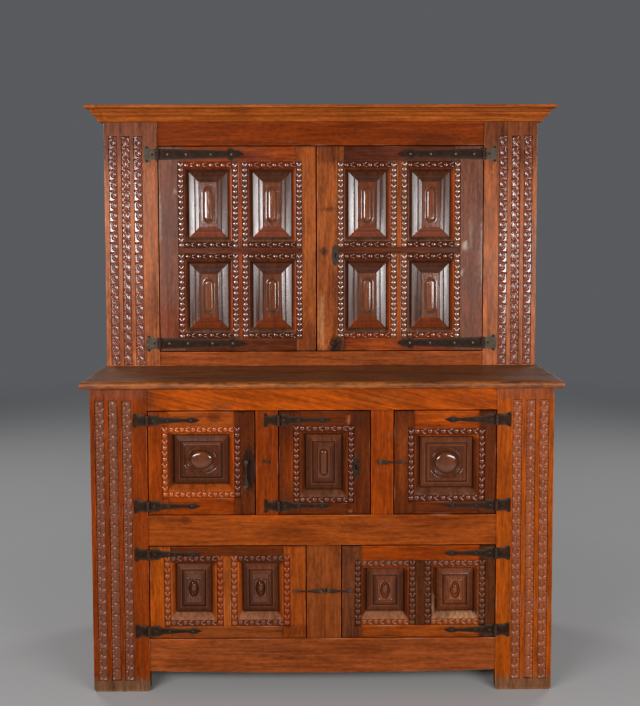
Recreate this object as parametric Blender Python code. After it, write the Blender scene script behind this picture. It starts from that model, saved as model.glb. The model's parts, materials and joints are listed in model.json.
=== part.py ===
"""Two-part carved sideboard: a deep lower case with five doors, and a set-back upper case with two.

Units are metres, +Z is up and the front faces -Y. The origin lies on the floor, at the middle of the plan.
Stiles and rails are joined with mortises and tenons, boards sit in housings, and every door hangs on two
iron strap hinges with real knuckles and pins.
"""

import math
from collections import namedtuple

import bmesh
import bpy
from mathutils import Vector

# Plan and depth
LOWER_WIDTH = 1.547
LOWER_DEPTH = 0.600
NOSING_FRONT = 0.030
NOSING_SIDE = 0.0265
SETBACK = 0.310
UPPER_EXTRA_WIDTH = 0.019

# Heights of the front, from the floor up
FOOT_HEIGHT = 0.070
BOTTOM_RAIL = 0.110
BOTTOM_DOOR = 0.322
MIDDLE_RAIL = 0.102
LOWER_DOOR = 0.356
LOWER_TOP_RAIL = 0.074
WAIST_THICKNESS = 0.026
UPPER_BOTTOM_RAIL = 0.051
UPPER_DOOR = 0.750
UPPER_TOP_RAIL = 0.083
CORNICE_HEIGHT = 0.056

# Widths of the front; the doors of a row share what its stiles and muntins leave
LOWER_STILE = 0.1895
UPPER_STILE = 0.192
MUNTIN = 0.0745
BOTTOM_MUNTIN = 0.1155
LOWER_LEFT_SHARE = 0.3548
LOWER_CENTRE_SHARE = 0.3047
BOTTOM_LEFT_SHARE = 0.5040
UPPER_LEFT_SHARE = 0.4852

# Thicknesses and joinery
FRONT_THICKNESS = 0.030
SIDE_THICKNESS = 0.025
BACK_THICKNESS = 0.015
BOARD_THICKNESS = 0.020
HOUSING_DEPTH = 0.006
TENON_LENGTH = 0.038
TENON_THICKNESS = 0.010
TENON_SHOULDER = 0.008
FIT = 0.0003
DOOR_GAP = 0.003
FOOT_RADIUS = 0.010
REAR_FOOT = 0.085
RAIL_SAG = 0.008
SAG_STEPS = 10
SHELF_HEIGHT = 0.360
SHELF_CLEARANCE = 0.006

# Carved runs on the stiles: three sunk channels on each
CHANNEL_WIDTH = 0.032
CHANNEL_DEPTH = 0.005
CHANNEL_MARGIN = 0.016
CHANNEL_PITCH = 0.045
CHANNEL_COUNT = 3
UPPER_CHANNEL_ENDS = (0.004, 0.050)
LOWER_CHANNEL_ENDS = (0.038, 0.041)

# Door panels: carved band, chamfer and raised panel, measured inward
BAND_DEPTH = 0.003
BAND_WALL = 0.001
PANEL_BED = 0.012
PANEL_QUIRK = 0.0015
BEVEL_TOP = 0.0045
FILLET_WIDTH = 0.003
FIELD_TOP = 0.002
FIELD_RIM = 0.005
FIELD_SLOPE = 0.0015
FIELD_SINK = 0.0035
MOTIF_SIDES = 16
MOTIF_STEPS = 3
DOOR_BACK_SINK = 0.006
SIDE_PANEL_SINK = 0.007
SIDE_PANEL_FRAME = 0.085

# Mouldings
WAIST_ROUND = 0.011
WAIST_ARC_STEPS = 6
CORNICE_REACH = 0.0575
CORNICE_SEAT = 0.026
CORNICE_FOOT = 0.010
CORNICE_LIP = 0.013
CORNICE_STEP = 0.007
CORNICE_ARC_STEPS = 5

# Iron: hinges, hooks, staples, escutcheons and locks
KNUCKLE_RADIUS = 0.006
PIN_RADIUS = 0.0022
PIN_CLEARANCE = 0.0004
KNUCKLE_SIDES = 12
PLATE_THICKNESS = 0.003
SEAT_DEPTH = 0.001
HINGE_NECK = 0.0085
UPPER_KNUCKLE = 0.042
UPPER_PLATE_REACH = 0.048
UPPER_PLATE_ROOT = 0.019
UPPER_PLATE_WING = 0.032
UPPER_STRAP_REACH = 0.312
UPPER_STRAP_ROOT = 0.0205
UPPER_STRAP_TAPER = 0.0135
LOWER_KNUCKLE = 0.036
LOWER_PLATE_REACH = 0.050
LOWER_PLATE_ROOT = 0.017
LOWER_PLATE_WING = 0.027
LOWER_STRAP_REACH = 0.174
LOWER_STRAP_ROOT = 0.0175
LOWER_STRAP_TAPER = 0.0065
PLATE_WAIST = 0.022
PLATE_WAIST_CUT = 0.002
PLATE_WING_EDGE = 0.006
PLATE_WING_CUT = 0.003
TREFOIL_LENGTH = 0.078
TREFOIL_STEM = 0.008
TREFOIL_LOBE = 0.011
TREFOIL_LOBE_IN = 0.050
TREFOIL_LOBE_UP = 0.013
TREFOIL_END = 0.016
SPEAR_LENGTH = 0.038
SPEAR_STEM = 0.0045
SPEAR_SWELL = 0.0095
SPEAR_POINT = 0.016
STRAP_SHOULDER = 0.036
STRAP_SLOPE = 0.008
HOOK_THICKNESS = 0.004
HOOK_EYE = 0.008
HOOK_SHAFT = 0.0026
HOOK_FLARE = 0.0083
HOOK_FLARE_LENGTH = 0.034
HOOK_FLARE_EDGE = 0.003
HOOK_SHANK = 0.0032
HOOK_SHANK_DEPTH = 0.012
SHANK_CLEARANCE = 0.0004
STAPLE_WIRE = 0.002
STAPLE_SPAN = 0.020
STAPLE_REACH = 0.008
STAPLE_LEG = 0.010
STAPLE_CLEARANCE = 0.0003
STAPLE_ARC_STEPS = 8
ESCUTCHEON_THICKNESS = 0.002
KEYHOLE_RADIUS = 0.0045
KEYHOLE_SLOT = 0.005
KEYHOLE_DROP = 0.014
LOCK_LENGTH = 0.090
LOCK_HEIGHT = 0.070
LOCK_DEPTH = 0.014
BOLT_HEIGHT = 0.014
BOLT_THICKNESS = 0.006
BOLT_CLEARANCE = 0.0004
BOLT_EDGE = 0.0015
LOCK_EDGE = 0.003

# Levels and faces that follow from the sizes above
LOWER_FACE = (NOSING_FRONT - LOWER_DEPTH) / 2
UPPER_FACE = LOWER_FACE + SETBACK
BACK_FACE = LOWER_FACE + LOWER_DEPTH
BOTTOM_DOOR_Z = FOOT_HEIGHT + BOTTOM_RAIL
MIDDLE_RAIL_Z = BOTTOM_DOOR_Z + BOTTOM_DOOR
LOWER_DOOR_Z = MIDDLE_RAIL_Z + MIDDLE_RAIL
LOWER_TOP_Z = LOWER_DOOR_Z + LOWER_DOOR
WAIST_Z = LOWER_TOP_Z + LOWER_TOP_RAIL
UPPER_Z = WAIST_Z + WAIST_THICKNESS
UPPER_DOOR_Z = UPPER_Z + UPPER_BOTTOM_RAIL
UPPER_TOP_Z = UPPER_DOOR_Z + UPPER_DOOR
CORNICE_Z = UPPER_TOP_Z + UPPER_TOP_RAIL
LOWER_HALF = LOWER_WIDTH / 2
UPPER_HALF = LOWER_HALF + UPPER_EXTRA_WIDTH / 2
LOWER_OPENING = LOWER_HALF - LOWER_STILE
UPPER_OPENING = UPPER_HALF - UPPER_STILE
LEFT_MUNTIN_X = -LOWER_OPENING + LOWER_LEFT_SHARE * 2 * (LOWER_OPENING - MUNTIN)
CENTRE_DOOR_X = LEFT_MUNTIN_X + MUNTIN
RIGHT_MUNTIN_X = CENTRE_DOOR_X + LOWER_CENTRE_SHARE * 2 * (LOWER_OPENING - MUNTIN)
RIGHT_DOOR_X = RIGHT_MUNTIN_X + MUNTIN
BOTTOM_MUNTIN_X = -LOWER_OPENING + BOTTOM_LEFT_SHARE * (2 * LOWER_OPENING - BOTTOM_MUNTIN)
BOTTOM_RIGHT_X = BOTTOM_MUNTIN_X + BOTTOM_MUNTIN
MEETING_X = -UPPER_OPENING + UPPER_LEFT_SHARE * 2 * UPPER_OPENING
LOWER_FLOOR_Z = BOTTOM_DOOR_Z - BOARD_THICKNESS - DOOR_GAP
MIDDLE_BOARD_Z = LOWER_DOOR_Z - BOARD_THICKNESS - DOOR_GAP
UPPER_FLOOR_Z = UPPER_DOOR_Z - BOARD_THICKNESS - DOOR_GAP
SHELF_Z = UPPER_DOOR_Z + SHELF_HEIGHT

LEFT, RIGHT = -1, 1

# A hinge's knuckle height, its fixed plate's reach and half heights, and its strap's reach and half heights
Hinge = namedtuple(
    "Hinge", "knuckle plate_reach plate_root plate_wing strap_reach strap_root strap_taper tip")
UPPER_HINGE = Hinge(UPPER_KNUCKLE, UPPER_PLATE_REACH, UPPER_PLATE_ROOT, UPPER_PLATE_WING, UPPER_STRAP_REACH,
                    UPPER_STRAP_ROOT, UPPER_STRAP_TAPER, "trefoil")
LOWER_HINGE = Hinge(LOWER_KNUCKLE, LOWER_PLATE_REACH, LOWER_PLATE_ROOT, LOWER_PLATE_WING, LOWER_STRAP_REACH,
                    LOWER_STRAP_ROOT, LOWER_STRAP_TAPER, "spear")

# The plain margins round a door's carved cells, how the cells repeat, and the panel in each
Cells = namedtuple("Cells", "left right bottom top columns rows gap_x gap_z")
Panel = namedtuple("Panel", "band side top sill field_width motif_width motif_end motif_edge motif_rise")
UPPER_PANEL = Panel(0.022, 0.016, 0.014, 0.014, 0.069, 0.020, 0.024, 0.006, 0.004)
BOSS_PANEL = Panel(0.021, 0.020, 0.009, 0.025, 0.116, 0.076, 0.011, 0.026, 0.010)
CENTRE_PANEL = Panel(0.020, 0.021, 0.011, 0.024, 0.046, 0.016, 0.007, 0.005, 0.004)
SMALL_PANEL = Panel(0.022, 0.018, 0.008, 0.025, 0.055, 0.022, 0.026, 0.007, 0.004)

# Each door: its opening, hinge side, front face, panels, and the hinges' distance from the opening's ends
Door = namedtuple("Door", "name x0 x1 z0 z1 hinge_side face cells panel hinge hinge_in")
DOORS = (
    Door("upper_left_door", -UPPER_OPENING, MEETING_X, UPPER_DOOR_Z, UPPER_TOP_Z, LEFT, UPPER_FACE,
         Cells(0.072, 0.051, 0.049, 0.058, 2, 2, 0.013, 0.021), UPPER_PANEL, UPPER_HINGE, 0.032),
    Door("upper_right_door", MEETING_X, UPPER_OPENING, UPPER_DOOR_Z, UPPER_TOP_Z, RIGHT, UPPER_FACE,
         Cells(0.0775, 0.084, 0.049, 0.058, 2, 2, 0.016, 0.021), UPPER_PANEL, UPPER_HINGE, 0.032),
    Door("lower_left_door", -LOWER_OPENING, LEFT_MUNTIN_X, LOWER_DOOR_Z, LOWER_TOP_Z, LEFT, LOWER_FACE,
         Cells(0.048, 0.0505, 0.060, 0.055, 1, 1, 0.0, 0.0), BOSS_PANEL, LOWER_HINGE, 0.033),
    Door("lower_centre_door", CENTRE_DOOR_X, RIGHT_MUNTIN_X, LOWER_DOOR_Z, LOWER_TOP_Z, LEFT, LOWER_FACE,
         Cells(0.051, 0.0565, 0.041, 0.053, 1, 1, 0.0, 0.0), CENTRE_PANEL, LOWER_HINGE, 0.033),
    Door("lower_right_door", RIGHT_DOOR_X, LOWER_OPENING, LOWER_DOOR_Z, LOWER_TOP_Z, RIGHT, LOWER_FACE,
         Cells(0.049, 0.040, 0.045, 0.064, 1, 1, 0.0, 0.0), BOSS_PANEL, LOWER_HINGE, 0.033),
    Door("bottom_left_door", -LOWER_OPENING, BOTTOM_MUNTIN_X, BOTTOM_DOOR_Z, MIDDLE_RAIL_Z, LEFT, LOWER_FACE,
         Cells(0.051, 0.0555, 0.044, 0.035, 2, 1, 0.025, 0.0), SMALL_PANEL, LOWER_HINGE, 0.029),
    Door("bottom_right_door", BOTTOM_RIGHT_X, LOWER_OPENING, BOTTOM_DOOR_Z, MIDDLE_RAIL_Z, RIGHT, LOWER_FACE,
         Cells(0.046, 0.035, 0.044, 0.054, 2, 1, 0.030, 0.0), SMALL_PANEL, LOWER_HINGE, 0.029),
)
DOOR = {door.name: door for door in DOORS}

# Each hook: its door, its eye's distance from the free edge, its height in the opening, length and lie
Hook = namedtuple("Hook", "name door edge_in height length angle")
HOOKS = (
    Hook("lower_left_hook", "lower_left_door", 0.0315, 0.184, 0.088, -90),
    Hook("lower_right_hook", "lower_right_door", 0.031, 0.182, 0.080, 180),
    Hook("bottom_left_hook", "bottom_left_door", 0.0345, 0.169, 0.087, 0),
    Hook("bottom_right_hook", "bottom_right_door", 0.0315, 0.169, 0.078, 180),
)

# The right half of an escutcheon, in shares of its width and height: crown, shoulders, waist and drop
ESCUTCHEON_HALF = ((0.0, 0.50), (0.30, 0.44), (0.22, 0.36), (0.50, 0.24), (0.36, 0.08), (0.36, -0.10),
                   (0.50, -0.24), (0.24, -0.38), (0.12, -0.46), (0.0, -0.50))

# Each lock: its door, the way its bolt slides, its keyhole's place, and its escutcheon's width and height
Lock = namedtuple("Lock", "name door way edge_in height width tall")
LOCKS = (
    Lock("upper", "upper_right_door", LEFT, 0.069, 0.356, 0.026, 0.078),
    Lock("lower", "lower_centre_door", RIGHT, 0.050, 0.167, 0.024, 0.078),
)

Pivot = namedtuple("Pivot", "empty at")


def clear_scene():
    for old in list(bpy.data.objects):
        bpy.data.objects.remove(old, do_unlink=True)


def finish_material(name, colour, roughness, metallic=0.0):
    material = bpy.data.materials.new(name)
    material.use_nodes = True
    shader = material.node_tree.nodes["Principled BSDF"]
    shader.inputs["Base Color"].default_value = (*colour, 1.0)
    shader.inputs["Roughness"].default_value = roughness
    shader.inputs["Metallic"].default_value = metallic
    material.diffuse_color = (*colour, 1.0)
    return material


def add_loft(bm, loops):
    """A solid through closed loops of equally many points, capped at both ends."""
    rings = [[bm.verts.new(point) for point in loop] for loop in loops]
    for first, second in zip(rings, rings[1:]):
        for here in range(len(first)):
            after = (here + 1) % len(first)
            bm.faces.new((first[here], first[after], second[after], second[here]))
    bm.faces.new(rings[0][::-1])
    bm.faces.new(rings[-1])


def add_box(bm, x0, x1, y0, y1, z0, z1):
    add_loft(bm, [[(x0, y0, z), (x1, y0, z), (x1, y1, z), (x0, y1, z)] for z in (z0, z1)])


def add_front_prism(bm, outline, y0, y1):
    """An outline of (x, z) points carried from y0 to y1."""
    add_loft(bm, [[(x, y, z) for x, z in outline] for y in (y0, y1)])


def add_side_prism(bm, outline, x0, x1):
    """An outline of (y, z) points carried from x0 to x1."""
    add_loft(bm, [[(x, y, z) for y, z in outline] for x in (x0, x1)])


def add_round(bm, profile, centre, axis, sides=KNUCKLE_SIDES):
    """A profile of (radius, height) points turned about an axis through the centre."""
    start = set(bm.verts)
    turn = Vector((0, 0, 1)).rotation_difference(Vector(axis)).to_matrix()
    verts = [bm.verts.new((radius, 0, height)) for radius, height in profile]
    closed = [verts[-1]] if profile[0][0] > 0 else []
    edges = [bm.edges.new(pair) for pair in zip(closed + verts, (closed + verts)[1:])]
    bmesh.ops.spin(bm, geom=verts + edges, cent=(0, 0, 0), axis=(0, 0, 1), angle=math.tau,
                   steps=sides, use_merge=True)
    made = [vert for vert in bm.verts if vert not in start]
    bmesh.ops.remove_doubles(bm, verts=made, dist=1e-6)
    for vert in bm.verts:
        if vert not in start:
            vert.co = Vector(centre) + turn @ vert.co


def add_rod(bm, radius, centre, axis, low, high):
    add_round(bm, [(0, low), (radius, low), (radius, high), (0, high)], centre, axis)


def arc(centre_u, centre_v, radius, start, end, steps, rise=None):
    """Points on an arc, with its angles in degrees; a rise makes it part of an ellipse."""
    rise = radius if rise is None else rise
    turns = [math.radians(start + (end - start) * step / steps) for step in range(steps + 1)]
    return [(centre_u + radius * math.cos(turn), centre_v + rise * math.sin(turn)) for turn in turns]


def motif_outline(centre_x, centre_z, width, height):
    """An oval where it is wider than it is high; otherwise an upright slot with round ends."""
    if width > height:
        return arc(centre_x, centre_z, width / 2, 0, 360, MOTIF_SIDES, height / 2)[:-1]
    radius = width / 2
    straight = height / 2 - radius
    top = arc(centre_x, centre_z + straight, radius, 0, 180, MOTIF_SIDES // 2 - 1)
    foot = arc(centre_x, centre_z - straight, radius, 180, 360, MOTIF_SIDES // 2 - 1)
    return top + foot


def add_pivot(name, at, parent=None):
    empty = bpy.data.objects.new(name, None)
    bpy.context.scene.collection.objects.link(empty)
    empty.location = Vector(at) - (parent.at if parent else Vector())
    if parent:
        empty.parent = parent.empty
    return Pivot(empty, Vector(at))


def add_object(name, bm, material=None, pivot=None):
    """A mesh object drawn from world coordinates; with a pivot its own origin lies on that pivot."""
    bmesh.ops.recalc_face_normals(bm, faces=bm.faces)
    if pivot:
        bmesh.ops.translate(bm, verts=bm.verts, vec=-pivot.at)
    mesh = bpy.data.meshes.new(name)
    bm.to_mesh(mesh)
    bm.free()
    obj = bpy.data.objects.new(name, mesh)
    bpy.context.scene.collection.objects.link(obj)
    if pivot:
        obj.parent = pivot.empty
    if material:
        mesh.materials.append(material)
        mesh.shade_smooth()
        mesh.set_sharp_from_angle(angle=math.radians(30))
    return obj


def combine(obj, operation, bm, pivot=None):
    """Cuts a helper out of an object, or joins the helper to it."""
    helper = add_object(f"{obj.name}_{operation.lower()}", bm, pivot=pivot)
    helper.hide_render = True
    helper.display_type = "WIRE"
    modifier = obj.modifiers.new(helper.name, "BOOLEAN")
    modifier.operation = operation
    modifier.solver = "EXACT"
    modifier.object = helper


def add_bevel(obj, width):
    modifier = obj.modifiers.new("soft_edges", "BEVEL")
    modifier.width = width
    modifier.segments = 1
    modifier.limit_method = "ANGLE"


def bar_section(face, low, high):
    """The (y, other) corners of a rail's or muntin's section, across its full thickness."""
    back = face + FRONT_THICKNESS
    return [(face, low), (back, low), (back, high), (face, high)]


def tenon_section(face, low, high):
    front = face + (FRONT_THICKNESS - TENON_THICKNESS) / 2
    back = front + TENON_THICKNESS
    low, high = low + TENON_SHOULDER, high - TENON_SHOULDER
    return [(front, low), (back, low), (back, high), (front, high)]


def add_rail(name, material, half, face, z0, z1, sag=0.0, mortises=()):
    """A rail between two stiles, with a shouldered tenon on each end and mortises for the muntins."""
    reach = half - FIT
    steps = SAG_STEPS if sag else 1
    stations = [-reach + 2 * reach * step / steps for step in range(steps + 1)]
    loops = [[(x, y, z) for y, z in tenon_section(face, z0, z1)] for x in (-reach - TENON_LENGTH, -reach)]
    for x in stations:
        low = z0 - sag * (1 - (x / reach) ** 2)
        loops.append([(x, y, z) for y, z in bar_section(face, low, z1)])
    loops += [[(x, y, z) for y, z in tenon_section(face, z0, z1)] for x in (reach, reach + TENON_LENGTH)]
    bm = bmesh.new()
    add_loft(bm, loops)
    rail = add_object(name, bm, material)
    if mortises:
        cutter = bmesh.new()
        for x0, x1, upward in mortises:
            root = z1 if upward else z0
            way = 1 if upward else -1
            add_mortise(cutter, face, "z", x0, x1, root, -way)
        combine(rail, "DIFFERENCE", cutter)


def add_mortise(bm, face, along, low, high, root, way):
    """The socket for a tenon: it starts just outside the edge at root and runs inward the given way."""
    section = tenon_section(face, low, high)
    front, back = section[0][0] - FIT, section[1][0] + FIT
    low, high = section[0][1] - FIT, section[2][1] + FIT
    ends = sorted((root - way * FIT, root + way * (TENON_LENGTH + FIT)))
    if along == "x":
        add_box(bm, *ends, front, back, low, high)
    else:
        add_box(bm, low, high, front, back, *ends)


def add_muntin(name, material, x0, x1, z0, z1, hinges=(), staple_z=None):
    """An upright between two rails, with a tenon on each end."""
    low, high = z0 + FIT, z1 - FIT
    loops = []
    for z, section in ((low - TENON_LENGTH, tenon_section), (low, tenon_section), (low, bar_section),
                       (high, bar_section), (high, tenon_section), (high + TENON_LENGTH, tenon_section)):
        loops.append([(x, y, z) for y, x in section(LOWER_FACE, x0, x1)])
    bm = bmesh.new()
    add_loft(bm, loops)
    muntin = add_object(name, bm, material)
    if staple_z:
        cutter = bmesh.new()
        for side in (LEFT, RIGHT):
            leg_x = (x0 + x1) / 2 + side * STAPLE_SPAN / 2
            add_rod(cutter, STAPLE_WIRE + STAPLE_CLEARANCE, (leg_x, LOWER_FACE, staple_z), (0, 1, 0),
                    -STAPLE_WIRE, STAPLE_LEG + STAPLE_CLEARANCE)
        combine(muntin, "DIFFERENCE", cutter)
    add_hinge_plates(muntin, hinges)


def foot_outline(x0, x1, z0, z1):
    """A stile's outline, with both lower corners rounded where it stands on the floor."""
    round_left = arc(x0 + FOOT_RADIUS, z0 + FOOT_RADIUS, FOOT_RADIUS, 180, 270, 3)
    round_right = arc(x1 - FOOT_RADIUS, z0 + FOOT_RADIUS, FOOT_RADIUS, 270, 360, 3)
    return round_left + round_right + [(x1, z1), (x0, z1)]


def add_stile(name, material, side, half, width, face, outline, channel_z, rails, hinges):
    """A front upright: mortised for its rails, with sunk channels for the carving and hinge plates."""
    bm = bmesh.new()
    add_front_prism(bm, outline, face, face + FRONT_THICKNESS)
    stile = add_object(name, bm, material)
    inner = side * (half - width)
    cutter = bmesh.new()
    for z0, z1 in rails:
        add_mortise(cutter, face, "x", z0, z1, inner, side)
    for run in range(CHANNEL_COUNT):
        outer = half - CHANNEL_MARGIN - run * CHANNEL_PITCH
        ends = sorted((side * outer, side * (outer - CHANNEL_WIDTH)))
        add_box(cutter, *ends, face - SEAT_DEPTH, face + CHANNEL_DEPTH, *channel_z)
    combine(stile, "DIFFERENCE", cutter)
    add_hinge_plates(stile, hinges)


def hinge_axes(door):
    """The hinge axis line of a door, and the heights of its two hinges."""
    edge = door.x0 if door.hinge_side == LEFT else door.x1
    axis_x = edge - door.hinge_side * DOOR_GAP / 2
    axis_y = door.face - KNUCKLE_RADIUS - FIT
    return axis_x, axis_y, (door.z0 + door.hinge_in, door.z1 - door.hinge_in)


def plate_outline(hinge):
    """The upper half of the fixed plate, as (distance from the axis, height): a butterfly wing."""
    slot = hinge.knuckle / 6 + FIT
    return [(HINGE_NECK, 0.0), (HINGE_NECK, slot), (DOOR_GAP, slot), (DOOR_GAP, hinge.knuckle / 2),
            (HINGE_NECK, hinge.plate_root), (PLATE_WAIST, hinge.plate_root - PLATE_WAIST_CUT),
            (hinge.plate_reach - PLATE_WING_EDGE, hinge.plate_wing),
            (hinge.plate_reach, hinge.plate_wing - PLATE_WING_CUT),
            (hinge.plate_reach - PLATE_WING_EDGE, 0.0)]


def trefoil_tip(reach, taper):
    """The upper half of a strap's end: a narrow stem, one side lobe and half of the end lobe."""
    points = [(reach - TREFOIL_LENGTH, taper), (reach - TREFOIL_LOBE_IN - TREFOIL_LOBE, TREFOIL_STEM)]
    points += arc(reach - TREFOIL_LOBE_IN, TREFOIL_LOBE_UP, TREFOIL_LOBE, 195, -25, 6)
    points += [(reach - 2 * TREFOIL_END, TREFOIL_STEM)]
    return points + arc(reach - TREFOIL_END, 0.0, TREFOIL_END, 140, 0, 5)


def spear_tip(reach, root, taper):
    """The upper half of a strap's end: a shouldered root, a thin tail and a leaf-shaped point."""
    leaf = reach - SPEAR_LENGTH
    return [(STRAP_SHOULDER, root - PLATE_WAIST_CUT), (STRAP_SHOULDER + STRAP_SLOPE, taper + PLATE_WAIST_CUT),
            (leaf, SPEAR_STEM), (leaf + STRAP_SLOPE, SPEAR_SWELL), (reach - SPEAR_POINT, SPEAR_SWELL),
            (reach, 0.0)]


def strap_outline(hinge):
    """The upper half of the moving strap, as (distance from the axis, height), from knuckle to tip."""
    neck = hinge.knuckle / 6 - FIT
    root = [(0.0, neck), (HINGE_NECK, neck), (HINGE_NECK, hinge.strap_root)]
    if hinge.tip == "trefoil":
        return root + trefoil_tip(hinge.strap_reach, hinge.strap_taper)
    return root + spear_tip(hinge.strap_reach, hinge.strap_root, hinge.strap_taper)


def whole_outline(half, axis_x, centre_z, way):
    """Both halves of a hinge outline that lies about a level line, as (x, z) points."""
    lower = [(along, -up) for along, up in reversed(half) if up > 0]
    return [(axis_x + way * along, centre_z + up) for along, up in half + lower]


def add_hinge_plates(upright, doors):
    """Joins the fixed plates, outer knuckles and pins of some doors' hinges to their upright."""
    if not doors:
        return
    plates, pins = bmesh.new(), bmesh.new()
    for door in doors:
        axis_x, axis_y, heights = hinge_axes(door)
        third, half = door.hinge.knuckle / 6 + FIT, door.hinge.knuckle / 2
        pin = [(0, -half), (KNUCKLE_RADIUS, -half), (KNUCKLE_RADIUS, -third), (PIN_RADIUS, -third),
               (PIN_RADIUS, third), (KNUCKLE_RADIUS, third), (KNUCKLE_RADIUS, half), (0, half)]
        for centre_z in heights:
            outline = whole_outline(plate_outline(door.hinge), axis_x, centre_z, door.hinge_side)
            add_front_prism(plates, outline, door.face - PLATE_THICKNESS, door.face + SEAT_DEPTH)
            add_round(pins, pin, (axis_x, axis_y, centre_z), (0, 0, 1))
    combine(upright, "UNION", plates)
    combine(upright, "UNION", pins)


def add_straps(door, material, pivot):
    """The two moving straps of a door, each with the middle knuckle that turns on the fixed pin."""
    axis_x, axis_y, heights = hinge_axes(door)
    third = door.hinge.knuckle / 6 - FIT
    bore = PIN_RADIUS + PIN_CLEARANCE
    tube = [(bore, -third), (KNUCKLE_RADIUS, -third), (KNUCKLE_RADIUS, third), (bore, third)]
    for place, centre_z in zip(("bottom", "top"), heights):
        bm = bmesh.new()
        outline = whole_outline(strap_outline(door.hinge), axis_x, centre_z, -door.hinge_side)
        add_front_prism(bm, outline, door.face - FIT - PLATE_THICKNESS, door.face - FIT)
        strap = add_object(f"{door.name}_{place}_strap", bm, material, pivot)
        knuckle = bmesh.new()
        add_round(knuckle, tube, (axis_x, axis_y, centre_z), (0, 0, 1))
        combine(strap, "UNION", knuckle, pivot)


def split_faces(bm, way, xs, zs):
    """Scores the front (-1) or back (+1) of a leaf along upright and level lines."""
    for place, lines in (((1, 0, 0), xs), ((0, 0, 1), zs)):
        for line in lines:
            faces = [face for face in bm.faces if face.normal.y * way > 0.9]
            edges = {edge for face in faces for edge in face.edges}
            verts = {vert for face in faces for vert in face.verts}
            bmesh.ops.bisect_plane(bm, geom=[*faces, *edges, *verts], plane_co=Vector(place) * line,
                                   plane_no=place, dist=1e-6)


def face_at(bm, way, x, z):
    near = [face for face in bm.faces if face.normal.y * way > 0.9]
    return min(near, key=lambda face: (face.calc_center_median() - Vector((x, 0, z))).xz.length)


def step_in(bm, face, box, y):
    """Insets a four-sided face to a smaller box (x0, x1, z0, z1) at depth y."""
    middle = face.calc_center_median()
    bmesh.ops.inset_individual(bm, faces=[face], thickness=1e-4)
    for vert in face.verts:
        vert.co.x = box[0] if vert.co.x < middle.x else box[1]
        vert.co.z = box[2] if vert.co.z < middle.z else box[3]
        vert.co.y = y


def shrink(box, side, bottom, top):
    return (box[0] + side, box[1] - side, box[2] + bottom, box[3] - top)


def add_motif(bm, face, centre, panel, y):
    """Swaps a sunk field for one with a bar or boss in its middle, rounded over by a quarter ellipse."""
    rim = list(face.edges)
    bmesh.ops.delete(bm, geom=[face], context="FACES_ONLY")
    rings = []
    upright = [edge for edge in rim if abs(edge.verts[0].co.x - edge.verts[1].co.x) < FIT]
    height = upright[0].calc_length() - 2 * panel.motif_end
    for inset, rise in arc(panel.motif_edge, 0.0, panel.motif_edge, 180, 90, MOTIF_STEPS, panel.motif_rise):
        outline = motif_outline(*centre, panel.motif_width - 2 * inset, height - 2 * inset)
        rings.append([bm.verts.new((x, y - rise, z)) for x, z in outline])
    foot = [bm.edges.new((rings[0][spot - 1], rings[0][spot])) for spot in range(MOTIF_SIDES)]
    bmesh.ops.triangle_fill(bm, use_beauty=True, edges=rim + foot)
    for lower, upper in zip(rings, rings[1:]):
        for spot in range(MOTIF_SIDES):
            bm.faces.new((lower[spot - 1], lower[spot], upper[spot], upper[spot - 1]))
    bm.faces.new(rings[-1])


def carve_panel(bm, face, cell, panel, front):
    """Works one cell from its carved band inward: groove, chamfer, quirk, bevel, fillet, field and motif."""
    walls = shrink(cell, BAND_WALL, BAND_WALL, BAND_WALL)
    inner = shrink(cell, panel.band - BAND_WALL, panel.band - BAND_WALL, panel.band - BAND_WALL)
    back = shrink(cell, panel.band, panel.band, panel.band)
    bed = shrink(back, panel.side, panel.sill, panel.top)
    raised = shrink(bed, *[(bed[1] - bed[0] - panel.field_width) / 2] * 3)
    field = shrink(raised, *[FILLET_WIDTH] * 3)
    sunk = shrink(field, *[FIELD_RIM] * 3)
    for box, depth in ((walls, BAND_DEPTH), (inner, BAND_DEPTH), (back, 0.0), (bed, PANEL_BED),
                       (shrink(bed, *[PANEL_QUIRK] * 3), PANEL_BED + PANEL_QUIRK), (raised, BEVEL_TOP),
                       (field, FIELD_TOP), (shrink(sunk, *[-FIELD_SLOPE] * 3), FIELD_TOP),
                       (sunk, FIELD_SINK)):
        step_in(bm, face, box, front + depth)
    centre = ((cell[0] + cell[1]) / 2, (sunk[2] + sunk[3]) / 2)
    add_motif(bm, face, centre, panel, front + FIELD_SINK)


def leaf_box(door):
    """The door leaf's (x0, x1, z0, z1) inside its opening; two meeting doors share one gap."""
    meets = {MEETING_X: DOOR_GAP / 2}
    return (door.x0 + meets.get(door.x0, DOOR_GAP), door.x1 - meets.get(door.x1, DOOR_GAP),
            door.z0 + DOOR_GAP, door.z1 - DOOR_GAP)


def cell_boxes(door):
    """The outer boxes of a door's carved cells, row by row."""
    cells = door.cells
    width = (door.x1 - door.x0 - cells.left - cells.right - cells.gap_x * (cells.columns - 1)) / cells.columns
    height = (door.z1 - door.z0 - cells.bottom - cells.top - cells.gap_z * (cells.rows - 1)) / cells.rows
    boxes = []
    for row in range(cells.rows):
        z0 = door.z0 + cells.bottom + row * (height + cells.gap_z)
        for column in range(cells.columns):
            x0 = door.x0 + cells.left + column * (width + cells.gap_x)
            boxes.append((x0, x0 + width, z0, z0 + height))
    return boxes


def hook_place(hook):
    door = DOOR[hook.door]
    edge = door.x1 if door.hinge_side == LEFT else door.x0
    return Vector((edge + door.hinge_side * hook.edge_in, door.face, door.z0 + hook.height))


def keyhole_place(lock):
    door = DOOR[lock.door]
    edge = door.x1 if door.hinge_side == LEFT else door.x0
    return Vector((edge + door.hinge_side * lock.edge_in, door.face, door.z0 + lock.height))


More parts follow.
